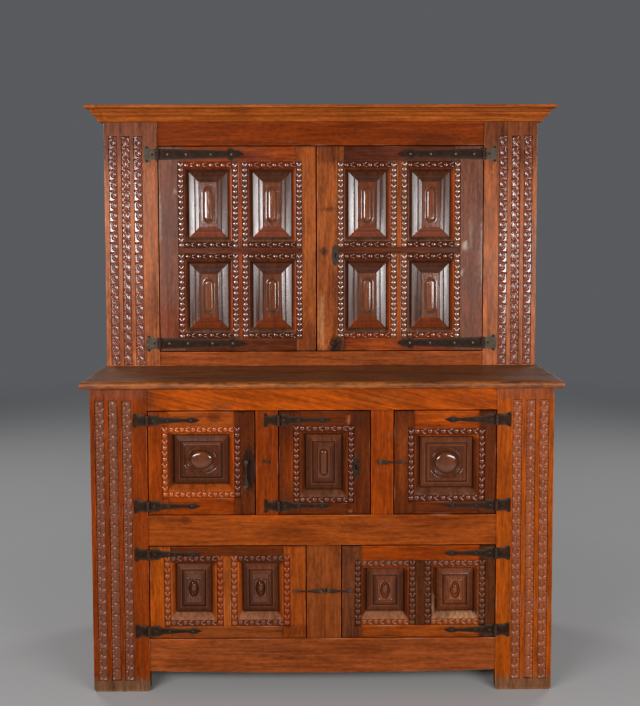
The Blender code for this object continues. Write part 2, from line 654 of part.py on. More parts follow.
def keyhole_outline(at):
    """A round hole with a slot below it, for the key's shank and bit."""
    half = math.degrees(math.asin(KEYHOLE_SLOT / 2 / KEYHOLE_RADIUS))
    bow = arc(at.x, at.z, KEYHOLE_RADIUS, -90 + half, 270 - half, 8)
    foot = at.z - KEYHOLE_DROP
    return bow + [(at.x - KEYHOLE_SLOT / 2, foot), (at.x + KEYHOLE_SLOT / 2, foot)]


def add_door(door, wood, iron):
    """One leaf with its carved panels, its holes for hooks and keys, and its straps."""
    axis_x, axis_y, heights = hinge_axes(door)
    pivot = add_pivot(f"{door.name}_hinge", (axis_x, axis_y, sum(heights) / 2))
    x0, x1, z0, z1 = leaf_box(door)
    back = door.face + FRONT_THICKNESS
    bm = bmesh.new()
    add_box(bm, x0, x1, door.face, back, z0, z1)
    bmesh.ops.recalc_face_normals(bm, faces=bm.faces)
    cells = cell_boxes(door)
    reach = door.panel.band + door.panel.side
    hollows = [shrink(cell, reach, reach, reach) for cell in cells]
    for way, boxes in ((-1, cells), (1, hollows)):
        split_faces(bm, way, sorted({line for box in boxes for line in box[:2]}),
                    sorted({line for box in boxes for line in box[2:]}))
    for cell, hollow in zip(cells, hollows):
        middle = ((cell[0] + cell[1]) / 2, (cell[2] + cell[3]) / 2)
        rear = face_at(bm, 1, *middle)
        step_in(bm, rear, shrink(hollow, *[BAND_WALL] * 3), back - DOOR_BACK_SINK)
        carve_panel(bm, face_at(bm, -1, *middle), cell, door.panel, door.face)
    leaf = add_object(door.name, bm, wood, pivot)
    cutter = bmesh.new()
    for hook in HOOKS:
        if hook.door == door.name:
            add_rod(cutter, HOOK_SHANK + SHANK_CLEARANCE, hook_place(hook), (0, 1, 0), -SEAT_DEPTH,
                    HOOK_SHANK_DEPTH + SHANK_CLEARANCE)
    for lock in LOCKS:
        if lock.door == door.name:
            add_front_prism(cutter, keyhole_outline(keyhole_place(lock)), door.face - SEAT_DEPTH,
                            back + SEAT_DEPTH)
    if cutter.verts:
        combine(leaf, "DIFFERENCE", cutter, pivot)
    add_straps(door, iron, pivot)
    return pivot


def hook_outline(length):
    """The upper half of a hook, as (distance from its eye, height): round eye, thin shaft, flared end."""
    leave = math.degrees(math.asin(HOOK_SHAFT / HOOK_EYE))
    flare = length - HOOK_FLARE_LENGTH
    swell = (flare + length) / 2
    return arc(0.0, 0.0, HOOK_EYE, 180, leave, 6) + [
        (flare, HOOK_SHAFT), (swell, (HOOK_SHAFT + HOOK_FLARE) / 2), (length - HOOK_FLARE_EDGE, HOOK_FLARE),
        (length, HOOK_FLARE - HOOK_FLARE_EDGE / 2)]


def add_hook(hook, iron, door_pivot):
    """A forged hook that turns on its own shank in the door, and lies just in front of the staple."""
    at = hook_place(hook)
    pivot = add_pivot(f"{hook.name}_pivot", at, door_pivot)
    half = hook_outline(hook.length)
    lower = [(along, -up) for along, up in reversed(half) if up > 1e-6]
    cos, sin = math.cos(math.radians(hook.angle)), math.sin(math.radians(hook.angle))
    outline = [(at.x + u * cos - v * sin, at.z + u * sin + v * cos) for u, v in half + lower]
    back = at.y - STAPLE_REACH - STAPLE_WIRE - SEAT_DEPTH
    bm = bmesh.new()
    add_front_prism(bm, outline, back - HOOK_THICKNESS, back)
    body = add_object(hook.name, bm, iron, pivot)
    shank = bmesh.new()
    add_rod(shank, HOOK_SHANK, at, (0, 1, 0), back - at.y - HOOK_THICKNESS / 2, HOOK_SHANK_DEPTH)
    combine(body, "UNION", shank, pivot)


def add_staple(name, iron, x, z):
    """A bent wire staple: two legs in the muntin and a round loop in front of it."""
    half = STAPLE_SPAN / 2
    bend = min(half, STAPLE_REACH)
    loop = [(x + math.cos(turn) * half, LOWER_FACE - math.sin(turn) * bend)
            for turn in (math.pi * step / STAPLE_ARC_STEPS for step in range(STAPLE_ARC_STEPS + 1))]
    route = [(x + half, LOWER_FACE + STAPLE_LEG), *loop, (x - half, LOWER_FACE + STAPLE_LEG)]
    curve = bpy.data.curves.new(name, "CURVE")
    curve.dimensions = "3D"
    curve.bevel_depth = STAPLE_WIRE
    curve.bevel_resolution = 1
    curve.use_fill_caps = True
    spline = curve.splines.new("POLY")
    spline.points.add(len(route) - 1)
    for point, (px, py) in zip(spline.points, route):
        point.co = (px, py, z, 1.0)
    staple = bpy.data.objects.new(name, curve)
    curve.materials.append(iron)
    bpy.context.scene.collection.objects.link(staple)


def add_lock(lock, iron, door_pivot):
    """An escutcheon on the face, and behind it a lock case with a bolt that slides past the door's edge."""
    door = DOOR[lock.door]
    at = keyhole_place(lock)
    middle = at.z - KEYHOLE_DROP / 4
    right = [(at.x + u * lock.width, middle + v * lock.tall) for u, v in ESCUTCHEON_HALF]
    left = [(at.x - u * lock.width, middle + v * lock.tall) for u, v in reversed(ESCUTCHEON_HALF) if u > 0]
    plate = bmesh.new()
    add_front_prism(plate, right + left, door.face - FIT - ESCUTCHEON_THICKNESS, door.face - FIT)
    escutcheon = add_object(f"{lock.name}_escutcheon", plate, iron, door_pivot)
    cutter = bmesh.new()
    add_front_prism(cutter, keyhole_outline(at), door.face - KEYHOLE_RADIUS, door.face + KEYHOLE_RADIUS)
    combine(escutcheon, "DIFFERENCE", cutter, door_pivot)

    edge = leaf_box(door)[0 if lock.way == LEFT else 1]
    near = edge - lock.way * DOOR_GAP
    far = near - lock.way * LOCK_LENGTH
    back = door.face + FRONT_THICKNESS + FIT
    case = bmesh.new()
    add_box(case, *sorted((near, far)), back, back + LOCK_DEPTH,
            at.z - LOCK_HEIGHT / 2, at.z + LOCK_HEIGHT / 2)
    box = add_object(f"{lock.name}_lock_case", case, iron, door_pivot)
    add_bevel(box, LOCK_EDGE)
    bolt_y = back + (LOCK_DEPTH - BOLT_THICKNESS) / 2
    channel = bmesh.new()
    reach = sorted((near + lock.way * DOOR_GAP, far - lock.way * DOOR_GAP))
    room = BOLT_CLEARANCE
    low, high = at.z - BOLT_HEIGHT / 2, at.z + BOLT_HEIGHT / 2
    add_box(channel, *reach, bolt_y - room, bolt_y + BOLT_THICKNESS + room, low - room, high + room)
    combine(box, "DIFFERENCE", channel, door_pivot)
    bolt = bmesh.new()
    add_box(bolt, *sorted((near, far)), bolt_y, bolt_y + BOLT_THICKNESS, low, high)
    pivot = add_pivot(f"{lock.name}_bolt_slide", (near, bolt_y, at.z), door_pivot)
    add_bevel(add_object(f"{lock.name}_lock_bolt", bolt, iron, pivot), BOLT_EDGE)


def add_board(name, material, half, face, z, setback=FIT):
    """A floor or shelf, housed in both sides, from just behind the front frame to the back."""
    reach = half - SIDE_THICKNESS + HOUSING_DEPTH - FIT
    bm = bmesh.new()
    add_box(bm, -reach, reach, face + FRONT_THICKNESS + setback, BACK_FACE - BACK_THICKNESS - FIT,
            z, z + BOARD_THICKNESS)
    add_object(name, bm, material)


def add_side(name, material, side, half, face, outline, housings, panels):
    """A side with housings for the boards inside it, and chamfered sunk panels on its outer face."""
    outer, inner = side * half, side * (half - SIDE_THICKNESS)
    bm = bmesh.new()
    add_side_prism(bm, outline, *sorted((outer, inner)))
    board = add_object(name, bm, material)
    cutter = bmesh.new()
    for z in housings:
        ends = sorted((inner - side * FIT, inner + side * HOUSING_DEPTH))
        add_box(cutter, *ends, face + FRONT_THICKNESS - FIT, BACK_FACE - BACK_THICKNESS,
                z - FIT, z + BOARD_THICKNESS + FIT)
    front, rear = face + FRONT_THICKNESS + SIDE_PANEL_FRAME / 2, BACK_FACE - SIDE_PANEL_FRAME
    for z0, z1 in panels:
        loops = []
        for proud in (SIDE_PANEL_SINK, -SIDE_PANEL_SINK):
            x = outer + side * proud
            loops.append([(x, front - proud, z0 - proud), (x, rear + proud, z0 - proud),
                          (x, rear + proud, z1 + proud), (x, front - proud, z1 + proud)])
        add_loft(cutter, loops)
    combine(board, "DIFFERENCE", cutter)


def add_back(name, material, half, z0, z1):
    reach = half - SIDE_THICKNESS - FIT
    bm = bmesh.new()
    add_box(bm, -reach, reach, BACK_FACE - BACK_THICKNESS, BACK_FACE, z0, z1)
    add_object(name, bm, material)


def add_waist_top(material):
    """The board between the cases: a half-round nosing on three sides, straight at the back."""
    half = LOWER_HALF + NOSING_SIDE
    front = LOWER_FACE - NOSING_FRONT
    middle = WAIST_THICKNESS / 2
    loops = []
    for inset, up in arc(WAIST_ROUND, middle, WAIST_ROUND, 270, 90, WAIST_ARC_STEPS, middle - FIT):
        x, y, z = half - inset, front + inset, WAIST_Z + up
        loops.append([(-x, y, z), (x, y, z), (x, BACK_FACE, z), (-x, BACK_FACE, z)])
    bm = bmesh.new()
    add_loft(bm, loops)
    add_object("waist_top", bm, material)


def cornice_profile():
    """The moulding's section, as (reach from the case, height): foot, step, hollow, step and lip."""
    hollow = CORNICE_REACH - CORNICE_STEP
    rise = CORNICE_HEIGHT - CORNICE_LIP - CORNICE_STEP
    profile = [(-CORNICE_SEAT, FIT), (CORNICE_STEP, FIT), (CORNICE_STEP, CORNICE_STEP)]
    profile += arc(hollow, CORNICE_STEP, hollow - CORNICE_FOOT, 180, 90, CORNICE_ARC_STEPS, rise)
    lip = CORNICE_HEIGHT - CORNICE_LIP / 2
    return profile + [(hollow, lip), (CORNICE_REACH, lip), (CORNICE_REACH, CORNICE_HEIGHT),
                      (-CORNICE_SEAT, CORNICE_HEIGHT)]


def add_cornice(material):
    """The moulding round the front and both ends of the top, mitred at the front corners."""
    loops = []
    for side, at_front in ((LEFT, False), (LEFT, True), (RIGHT, True), (RIGHT, False)):
        loop = []
        for out, up in cornice_profile():
            y = UPPER_FACE - out if at_front else BACK_FACE
            loop.append((side * (UPPER_HALF + out), y, CORNICE_Z + up))
        loops.append(loop)
    bm = bmesh.new()
    add_loft(bm, loops)
    add_object("cornice", bm, material)


def add_top_board(material):
    reach = UPPER_HALF - CORNICE_SEAT - FIT
    bm = bmesh.new()
    add_box(bm, -reach, reach, UPPER_FACE + CORNICE_SEAT + FIT, BACK_FACE, CORNICE_Z + FIT,
            CORNICE_Z + FIT + BOARD_THICKNESS)
    add_object("upper_top_board", bm, material)


def lower_case(wood, inner_wood, top_wood):
    rails = {
        "lower_bottom_rail": (FOOT_HEIGHT, BOTTOM_DOOR_Z),
        "lower_middle_rail": (MIDDLE_RAIL_Z, LOWER_DOOR_Z),
        "lower_top_rail": (LOWER_TOP_Z, WAIST_Z),
    }
    left_muntin = (LEFT_MUNTIN_X, CENTRE_DOOR_X)
    right_muntin = (RIGHT_MUNTIN_X, RIGHT_DOOR_X)
    bottom_muntin = (BOTTOM_MUNTIN_X, BOTTOM_RIGHT_X)
    add_rail("lower_bottom_rail", wood, LOWER_OPENING, LOWER_FACE, *rails["lower_bottom_rail"], RAIL_SAG,
             [(*bottom_muntin, True)])
    add_rail("lower_middle_rail", wood, LOWER_OPENING, LOWER_FACE, *rails["lower_middle_rail"], 0.0,
             [(*left_muntin, True), (*right_muntin, True), (*bottom_muntin, False)])
    add_rail("lower_top_rail", wood, LOWER_OPENING, LOWER_FACE, *rails["lower_top_rail"], 0.0,
             [(*left_muntin, False), (*right_muntin, False)])
    hook_z = {hook.name: hook_place(hook).z for hook in HOOKS}
    add_muntin("left_muntin", wood, *left_muntin, LOWER_DOOR_Z, LOWER_TOP_Z, [DOOR["lower_centre_door"]],
               hook_z["lower_left_hook"])
    add_muntin("right_muntin", wood, *right_muntin, LOWER_DOOR_Z, LOWER_TOP_Z, (), hook_z["lower_right_hook"])
    add_muntin("bottom_muntin", wood, *bottom_muntin, BOTTOM_DOOR_Z, MIDDLE_RAIL_Z, (),
               hook_z["bottom_left_hook"])
    channel_z = (LOWER_CHANNEL_ENDS[0], WAIST_Z - LOWER_CHANNEL_ENDS[1])
    front = LOWER_FACE + FRONT_THICKNESS + FIT
    side_outline = [(front, FOOT_HEIGHT), (BACK_FACE - REAR_FOOT, FOOT_HEIGHT), (BACK_FACE - REAR_FOOT, 0.0),
                    (BACK_FACE, 0.0), (BACK_FACE, WAIST_Z), (front, WAIST_Z)]
    side_panels = [(BOTTOM_DOOR_Z, MIDDLE_RAIL_Z), (LOWER_DOOR_Z, LOWER_TOP_Z)]
    for label, side, doors in (("left", LEFT, ("lower_left_door", "bottom_left_door")),
                               ("right", RIGHT, ("lower_right_door", "bottom_right_door"))):
        ends = sorted((side * LOWER_HALF, side * LOWER_OPENING))
        add_stile(f"lower_{label}_stile", wood, side, LOWER_HALF, LOWER_STILE, LOWER_FACE,
                  foot_outline(*ends, 0.0, WAIST_Z), channel_z, rails.values(),
                  [DOOR[name] for name in doors])
        add_side(f"lower_{label}_side", wood, side, LOWER_HALF, LOWER_FACE, side_outline,
                 (LOWER_FLOOR_Z, MIDDLE_BOARD_Z), side_panels)
    add_back("lower_back", inner_wood, LOWER_HALF, FOOT_HEIGHT, WAIST_Z)
    add_board("lower_floor", inner_wood, LOWER_HALF, LOWER_FACE, LOWER_FLOOR_Z)
    add_board("lower_middle_board", inner_wood, LOWER_HALF, LOWER_FACE, MIDDLE_BOARD_Z)
    add_waist_top(top_wood)


def upper_case(wood, inner_wood, top_wood):
    rails = {
        "upper_bottom_rail": (UPPER_Z, UPPER_DOOR_Z),
        "upper_top_rail": (UPPER_TOP_Z, CORNICE_Z),
    }
    for name, levels in rails.items():
        add_rail(name, wood, UPPER_OPENING, UPPER_FACE, *levels)
    channel_z = (UPPER_Z + UPPER_CHANNEL_ENDS[0], CORNICE_Z - UPPER_CHANNEL_ENDS[1])
    front = UPPER_FACE + FRONT_THICKNESS + FIT
    outline = [(front, UPPER_Z), (BACK_FACE, UPPER_Z), (BACK_FACE, CORNICE_Z), (front, CORNICE_Z)]
    middle = (UPPER_DOOR_Z + UPPER_TOP_Z) / 2
    side_panels = [(UPPER_DOOR_Z, middle - SIDE_PANEL_FRAME / 2),
                   (middle + SIDE_PANEL_FRAME / 2, UPPER_TOP_Z)]
    for label, side in (("left", LEFT), ("right", RIGHT)):
        x0, x1 = sorted((side * UPPER_HALF, side * UPPER_OPENING))
        stile_outline = [(x0, UPPER_Z), (x1, UPPER_Z), (x1, CORNICE_Z), (x0, CORNICE_Z)]
        add_stile(f"upper_{label}_stile", wood, side, UPPER_HALF, UPPER_STILE, UPPER_FACE, stile_outline,
                  channel_z, rails.values(), [DOOR[f"upper_{label}_door"]])
        add_side(f"upper_{label}_side", wood, side, UPPER_HALF, UPPER_FACE, outline,
                 (UPPER_FLOOR_Z, SHELF_Z), side_panels)
    add_back("upper_back", inner_wood, UPPER_HALF, UPPER_Z, CORNICE_Z)
    add_board("upper_floor", inner_wood, UPPER_HALF, UPPER_FACE, UPPER_FLOOR_Z)
    add_board("upper_shelf", inner_wood, UPPER_HALF, UPPER_FACE, SHELF_Z, LOCK_DEPTH + SHELF_CLEARANCE)
    add_top_board(top_wood)
    add_cornice(wood)


def doors_and_iron(wood, iron):
    pivots = {door.name: add_door(door, wood, iron) for door in DOORS}
    for hook in HOOKS:
        add_hook(hook, iron, pivots[hook.door])
    for lock in LOCKS:
        add_lock(lock, iron, pivots[lock.door])
    heights = {hook.name: hook_place(hook).z for hook in HOOKS}
    add_staple("left_muntin_staple", iron, LEFT_MUNTIN_X + MUNTIN / 2, heights["lower_left_hook"])
    add_staple("right_muntin_staple", iron, RIGHT_MUNTIN_X + MUNTIN / 2, heights["lower_right_hook"])
    add_staple("bottom_muntin_staple", iron, BOTTOM_MUNTIN_X + BOTTOM_MUNTIN / 2, heights["bottom_left_hook"])


def main():
    clear_scene()
    frame_wood = finish_material("red_brown_oak", (0.26, 0.075, 0.022), 0.38)
    door_wood = finish_material("dark_door_oak", (0.17, 0.048, 0.020), 0.35)
    inner_wood = finish_material("bare_inner_oak", (0.30, 0.18, 0.095), 0.65)
    top_wood = finish_material("worn_top_oak", (0.13, 0.055, 0.030), 0.45)
    iron = finish_material("black_forged_iron", (0.045, 0.038, 0.034), 0.50, 0.85)
    lower_case(frame_wood, inner_wood, top_wood)
    upper_case(frame_wood, inner_wood, top_wood)
    doors_and_iron(door_wood, iron)


main()
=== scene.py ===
# %% [markdown]
# # A carved two-part sideboard
# A deep lower case stands on its own front uprights and carries a shallower cupboard, set back on a worn
# board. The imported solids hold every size, so each finished piece below is drawn from their boxes.

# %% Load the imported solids
import json
import math
from collections import namedtuple

import bpy
import numpy as np
from mathutils import Matrix, Vector


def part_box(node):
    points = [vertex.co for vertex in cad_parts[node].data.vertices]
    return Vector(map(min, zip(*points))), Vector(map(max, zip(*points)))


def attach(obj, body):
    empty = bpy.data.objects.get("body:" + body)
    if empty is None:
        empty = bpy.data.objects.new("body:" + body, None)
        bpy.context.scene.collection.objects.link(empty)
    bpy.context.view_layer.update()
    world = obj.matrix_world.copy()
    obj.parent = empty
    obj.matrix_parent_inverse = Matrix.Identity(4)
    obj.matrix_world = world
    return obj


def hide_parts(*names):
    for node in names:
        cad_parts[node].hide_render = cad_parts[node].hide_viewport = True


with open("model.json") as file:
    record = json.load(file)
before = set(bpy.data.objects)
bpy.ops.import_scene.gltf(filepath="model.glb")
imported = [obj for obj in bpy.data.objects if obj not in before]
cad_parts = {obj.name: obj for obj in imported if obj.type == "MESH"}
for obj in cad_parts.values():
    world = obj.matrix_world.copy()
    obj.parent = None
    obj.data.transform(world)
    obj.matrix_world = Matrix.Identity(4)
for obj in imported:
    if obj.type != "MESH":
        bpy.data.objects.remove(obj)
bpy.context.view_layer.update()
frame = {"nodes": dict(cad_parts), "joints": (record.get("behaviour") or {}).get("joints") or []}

# %% [markdown]
# ## The camera
# The viewpoint was found by matching corners of the real piece with corners of the solids. It stands at eye
# height, a little left of the middle, and looks down by a few degrees only. A shift of the lens brings the
# feet into view instead of more tilt, which keeps the uprights nearly upright.

# %% Camera
EYE = Vector((-0.0269, -3.2792, 1.5876))
PITCH, YAW, ROLL = 0.0578, 0.0068, -0.0023
LENS, SHIFT_UP = 46.36, -0.1123

forward = Vector((math.sin(YAW) * math.cos(PITCH), math.cos(YAW) * math.cos(PITCH), -math.sin(PITCH)))
level_right = Vector((math.cos(YAW), -math.sin(YAW), 0.0))
level_up = level_right.cross(forward)
right = level_right * math.cos(ROLL) + level_up * math.sin(ROLL)
up = level_up * math.cos(ROLL) - level_right * math.sin(ROLL)
camera = bpy.data.objects.new("camera", bpy.data.cameras.new("camera"))
camera.data.lens = LENS
camera.data.shift_y = SHIFT_UP
camera.matrix_world = Matrix.Translation(EYE) @ Matrix((right, up, -forward)).transposed().to_4x4()
bpy.context.scene.collection.objects.link(camera)
bpy.context.scene.camera = camera
bpy.context.scene.view_settings.view_transform = "Standard"
print("camera at", tuple(round(value, 3) for value in EYE))

# %% [markdown]
# ## Lofts with a memory of the wood
# Joiner's work is nearly all profiles carried along a line, so one loft makes almost every piece. Each point
# also remembers three things for the finish: where it lies along and across the grain of its own board, the
# tone of that board, and its wear. High wear is rubbed bright and also paints highlights on edges and ridges;
# low wear sits in a hollow darkened by grime and by painted shade. The finish then follows the construction,
# and no picture is needed.

# %% Patches and pieces
Patch = namedtuple("Patch", "points faces caps grain tone wear smooth", defaults=(True,))
SHARP_ANGLE = math.radians(38)


def loft(rings, grain, tone, wear, loop=False):
    """Joins closed rings, an array (stations, points, 3), into a closed body.

    Each point is linked with its neighbour and with the same point of the next ring. The end rings are
    filled, or with loop the last ring meets the first.
    """
    stations, count = rings.shape[:2]
    row = np.arange(stations if loop else stations - 1)[:, None] * count
    below = (row + count) % (stations * count)
    spot = np.arange(count)[None, :]
    after = (spot + 1) % count
    faces = np.stack([row + spot, row + after, below + after, below + spot], axis=-1).reshape(-1, 4)
    ends = [] if loop else [np.arange(count)[::-1], np.arange(count) + (stations - 1) * count]
    return Patch(rings.reshape(-1, 3), faces, ends,
                 np.broadcast_to(grain, rings.shape).reshape(-1, 3),
                 np.broadcast_to(tone, rings.shape).reshape(-1, 3),
                 np.broadcast_to(wear, rings.shape[:2]).ravel())


def outward(patch):
    """Turns a closed patch round if its signed volume, the sum of triple products, is negative."""
    fans = [np.stack([np.full(len(cap) - 2, cap[0]), cap[1:-1], cap[2:]], axis=-1) for cap in patch.caps]
    corners = np.concatenate([patch.faces[:, :3], patch.faces[:, [0, 2, 3]], *fans])
    a, b, c = (patch.points - patch.points.mean(axis=0))[corners].transpose(1, 0, 2)
    if np.einsum("ij,ij->", a, np.cross(b, c)) >= 0:
        return patch
    return patch._replace(faces=patch.faces[:, ::-1], caps=[cap[::-1] for cap in patch.caps])


def make_piece(name, patches, body, material, nodes=()):
    """One object from several patches; it rides on a body, takes one material and stands for some nodes."""
    patches = [outward(patch) for patch in patches]
    starts = np.cumsum([0] + [len(patch.points) for patch in patches[:-1]])
    faces = np.concatenate([patch.faces + start for patch, start in zip(patches, starts)])
    caps = [cap + start for patch, start in zip(patches, starts) for cap in patch.caps]
    loops = np.concatenate([faces.ravel(), *caps]).astype(np.int32)
    counts = np.array([4] * len(faces) + [len(cap) for cap in caps])
    points = np.concatenate([patch.points for patch in patches])
    mesh = bpy.data.meshes.new(name)
    mesh.vertices.add(len(points))
    mesh.vertices.foreach_set("co", points.astype(np.float32).ravel())
    mesh.loops.add(len(loops))
    mesh.loops.foreach_set("vertex_index", loops)
    mesh.polygons.add(len(counts))
    mesh.polygons.foreach_set("loop_start", (np.cumsum(counts) - counts).astype(np.int32))
    mesh.update(calc_edges=True)
    for label, kind, key in (("grain", "FLOAT_VECTOR", "vector"), ("wear", "FLOAT", "value")):
        values = np.concatenate([getattr(patch, label) for patch in patches]).astype(np.float32)
        mesh.attributes.new(label, kind, "POINT").data.foreach_set(key, values.ravel())
    tones = np.concatenate([patch.tone for patch in patches])
    tones = np.hstack([tones, np.ones((len(tones), 1))]).astype(np.float32)
    mesh.attributes.new("tone", "FLOAT_COLOR", "POINT").data.foreach_set("color", tones.ravel())
    mesh.set_sharp_from_angle(angle=SHARP_ANGLE)
    flat_ends = np.zeros(len(caps), bool)
    smooth = np.concatenate([*[np.full(len(patch.faces), patch.smooth) for patch in patches], flat_ends])
    mesh.polygons.foreach_set("use_smooth", smooth)
    mesh.materials.append(material)
    piece = bpy.data.objects.new(name, mesh)
    bpy.context.scene.collection.objects.link(piece)
    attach(piece, body)
    if nodes:
        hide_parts(*nodes)
    print(name, len(patches), "patches,", int((counts - 2).sum()), "triangles")


def on_front(patch, face):
    """Local (across, depth, up) points stood on the plane y = face, with depth running backwards."""
    u, depth, z = patch.points.T
    return patch._replace(points=np.stack([u, face + depth, z], axis=-1))


print("edges stay sharp above", round(math.degrees(SHARP_ANGLE)), "degrees")

# %% [markdown]
# ## Tones
# No two boards of an old piece have aged alike. Rails that were handled are orange, the hanging stiles have
# gone plum-dark, and the panels are nearly walnut brown. A short palette, named as a polisher might, is
# enough, because each board picks its own tone from it.

# %% Tones


def tone(red, green, blue):
    """A colour as the eye reads it, from 0 to 255, turned into linear light."""
    share = np.array((red, green, blue)) / 255
    return np.where(share <= 0.04045, share / 12.92, ((share + 0.055) / 1.055) ** 2.4)


TONES = {
    "honey": tone(168, 71, 5),
    "amber": tone(147, 66, 16),
    "copper": tone(161, 80, 26),
    "sandal": tone(174, 94, 48),
    "ginger": tone(160, 71, 9),
    "rust": tone(146, 58, 4),
    "chestnut": tone(131, 52, 7),
    "russet": tone(147, 71, 29),
    "plum": tone(122, 70, 50),
    "umber": tone(94, 39, 10),
    "walnut": tone(87, 42, 18),
    "madder": tone(115, 54, 29),
    "bronze": tone(137, 71, 14),
    "cocoa": tone(106, 54, 28),
    "mocha": tone(96, 56, 36),
    "smoke": tone(138, 88, 50),
    "fawn": tone(138, 86, 58),
    "straw": tone(112, 88, 64),
    "dust": tone(104, 68, 46),
    "sienna": tone(134, 65, 25),
    "chalk": tone(188, 142, 96),
    "bone": tone(196, 178, 160),
    "soot": tone(40, 24, 16),
    "iron": tone(44, 27, 16),
    "steel": tone(92, 80, 68),
    "nickel": tone(126, 114, 102),
    "pewter": tone(66, 55, 46),
}
print(len(TONES), "tones")

# %% [markdown]
# ## The waxed wood
# Old waxed oak shows streaks along the grain, a slow figure that wanders across it, short dark pores, patches
# where the wax has blackened, and pale scuffs. Each is the same noise stretched differently over the grain
# coordinates. Low wear darkens the wood, as grime and painted shade; high wear lightens it, as rubbing and
# painted sheen, up to a pale painted highlight on edges and ridges. The group is built once and every wood
# uses it with its own values.

# %% Node helpers


def add_node(tree, kind, **settings):
    """A new node of one kind, with its settings."""
    made = tree.nodes.new(kind)
    for key, value in settings.items():
        setattr(made, key, value)
    return made


def feed(tree, socket, value):
    """Links an output to a socket, or sets the socket's own value where a plain one is given."""
    if isinstance(value, bpy.types.NodeSocket):
        tree.links.new(value, socket)
    else:
        socket.default_value = value


def maths(tree, operation, first, second=0.0):
    """One sum of two values."""
    made = add_node(tree, "ShaderNodeMath", operation=operation)
    feed(tree, made.inputs[0], first)
    feed(tree, made.inputs[1], second)
    return made.outputs[0]


def span(tree, value, low, high, to_low=0.0, to_high=1.0):
    """Maps a value's range from low to high onto another range, and stops at its ends."""
    made = add_node(tree, "ShaderNodeMapRange", clamp=True)
    for socket, given in zip(made.inputs, (value, low, high, to_low, to_high)):
        feed(tree, socket, given)
    return made.outputs[0]


def noise(tree, vector, stretch, detail=3.0, distortion=0.0):
    """Noise with its own number of cycles a metre along each of the three directions."""
    scaled = add_node(tree, "ShaderNodeVectorMath", operation="MULTIPLY")
    feed(tree, scaled.inputs[0], vector)
    feed(tree, scaled.inputs[1], stretch)
    made = add_node(tree, "ShaderNodeTexNoise")
    feed(tree, made.inputs["Vector"], scaled.outputs[0])
    feed(tree, made.inputs["Scale"], 1.0)
    feed(tree, made.inputs["Detail"], detail)
    feed(tree, made.inputs["Distortion"], distortion)
    return made.outputs["Fac"]


def mix(tree, share, first, second, blend_type="MIX"):
    """Two colours blended by a share of the second."""
    made = add_node(tree, "ShaderNodeMix", data_type="RGBA", blend_type=blend_type)
    feed(tree, made.inputs[0], share)
    feed(tree, made.inputs[6], first)
    feed(tree, made.inputs[7], second)
    return made.outputs[2]


def scaled(tree, colour, share):
    """A colour made darker or lighter by one factor."""
    made = add_node(tree, "ShaderNodeVectorMath", operation="SCALE")
    feed(tree, made.inputs[0], colour)
    feed(tree, made.inputs["Scale"], share)
    return made.outputs[0]


def new_group(name, inputs, outputs):
    """An empty node group with named sockets; returns its tree, its given values and its result sockets."""
    tree = bpy.data.node_groups.new(name, "ShaderNodeTree")
    for label, kind in inputs:
        tree.interface.new_socket(label, in_out="INPUT", socket_type=kind)
    for label, kind in outputs:
        tree.interface.new_socket(label, in_out="OUTPUT", socket_type=kind)
    return tree, add_node(tree, "NodeGroupInput").outputs, add_node(tree, "NodeGroupOutput").inputs


# %% Aged wood
COLOUR, NUMBER, VECTOR = "NodeSocketColor", "NodeSocketFloat", "NodeSocketVector"
SHADE_SOCKETS = (("Color", COLOUR), ("Roughness", NUMBER), ("Height", NUMBER))
BLACK_WAX = (0.36, 0.28, 0.26, 1.0)
SCUFF_TINT = (0.34, 0.24, 0.19, 1.0)
# Pale edges and ridges: partly worn wood, partly a painted highlight
PALE_WEAR_AND_HIGHLIGHT = (0.50, 0.37, 0.29, 1.0)


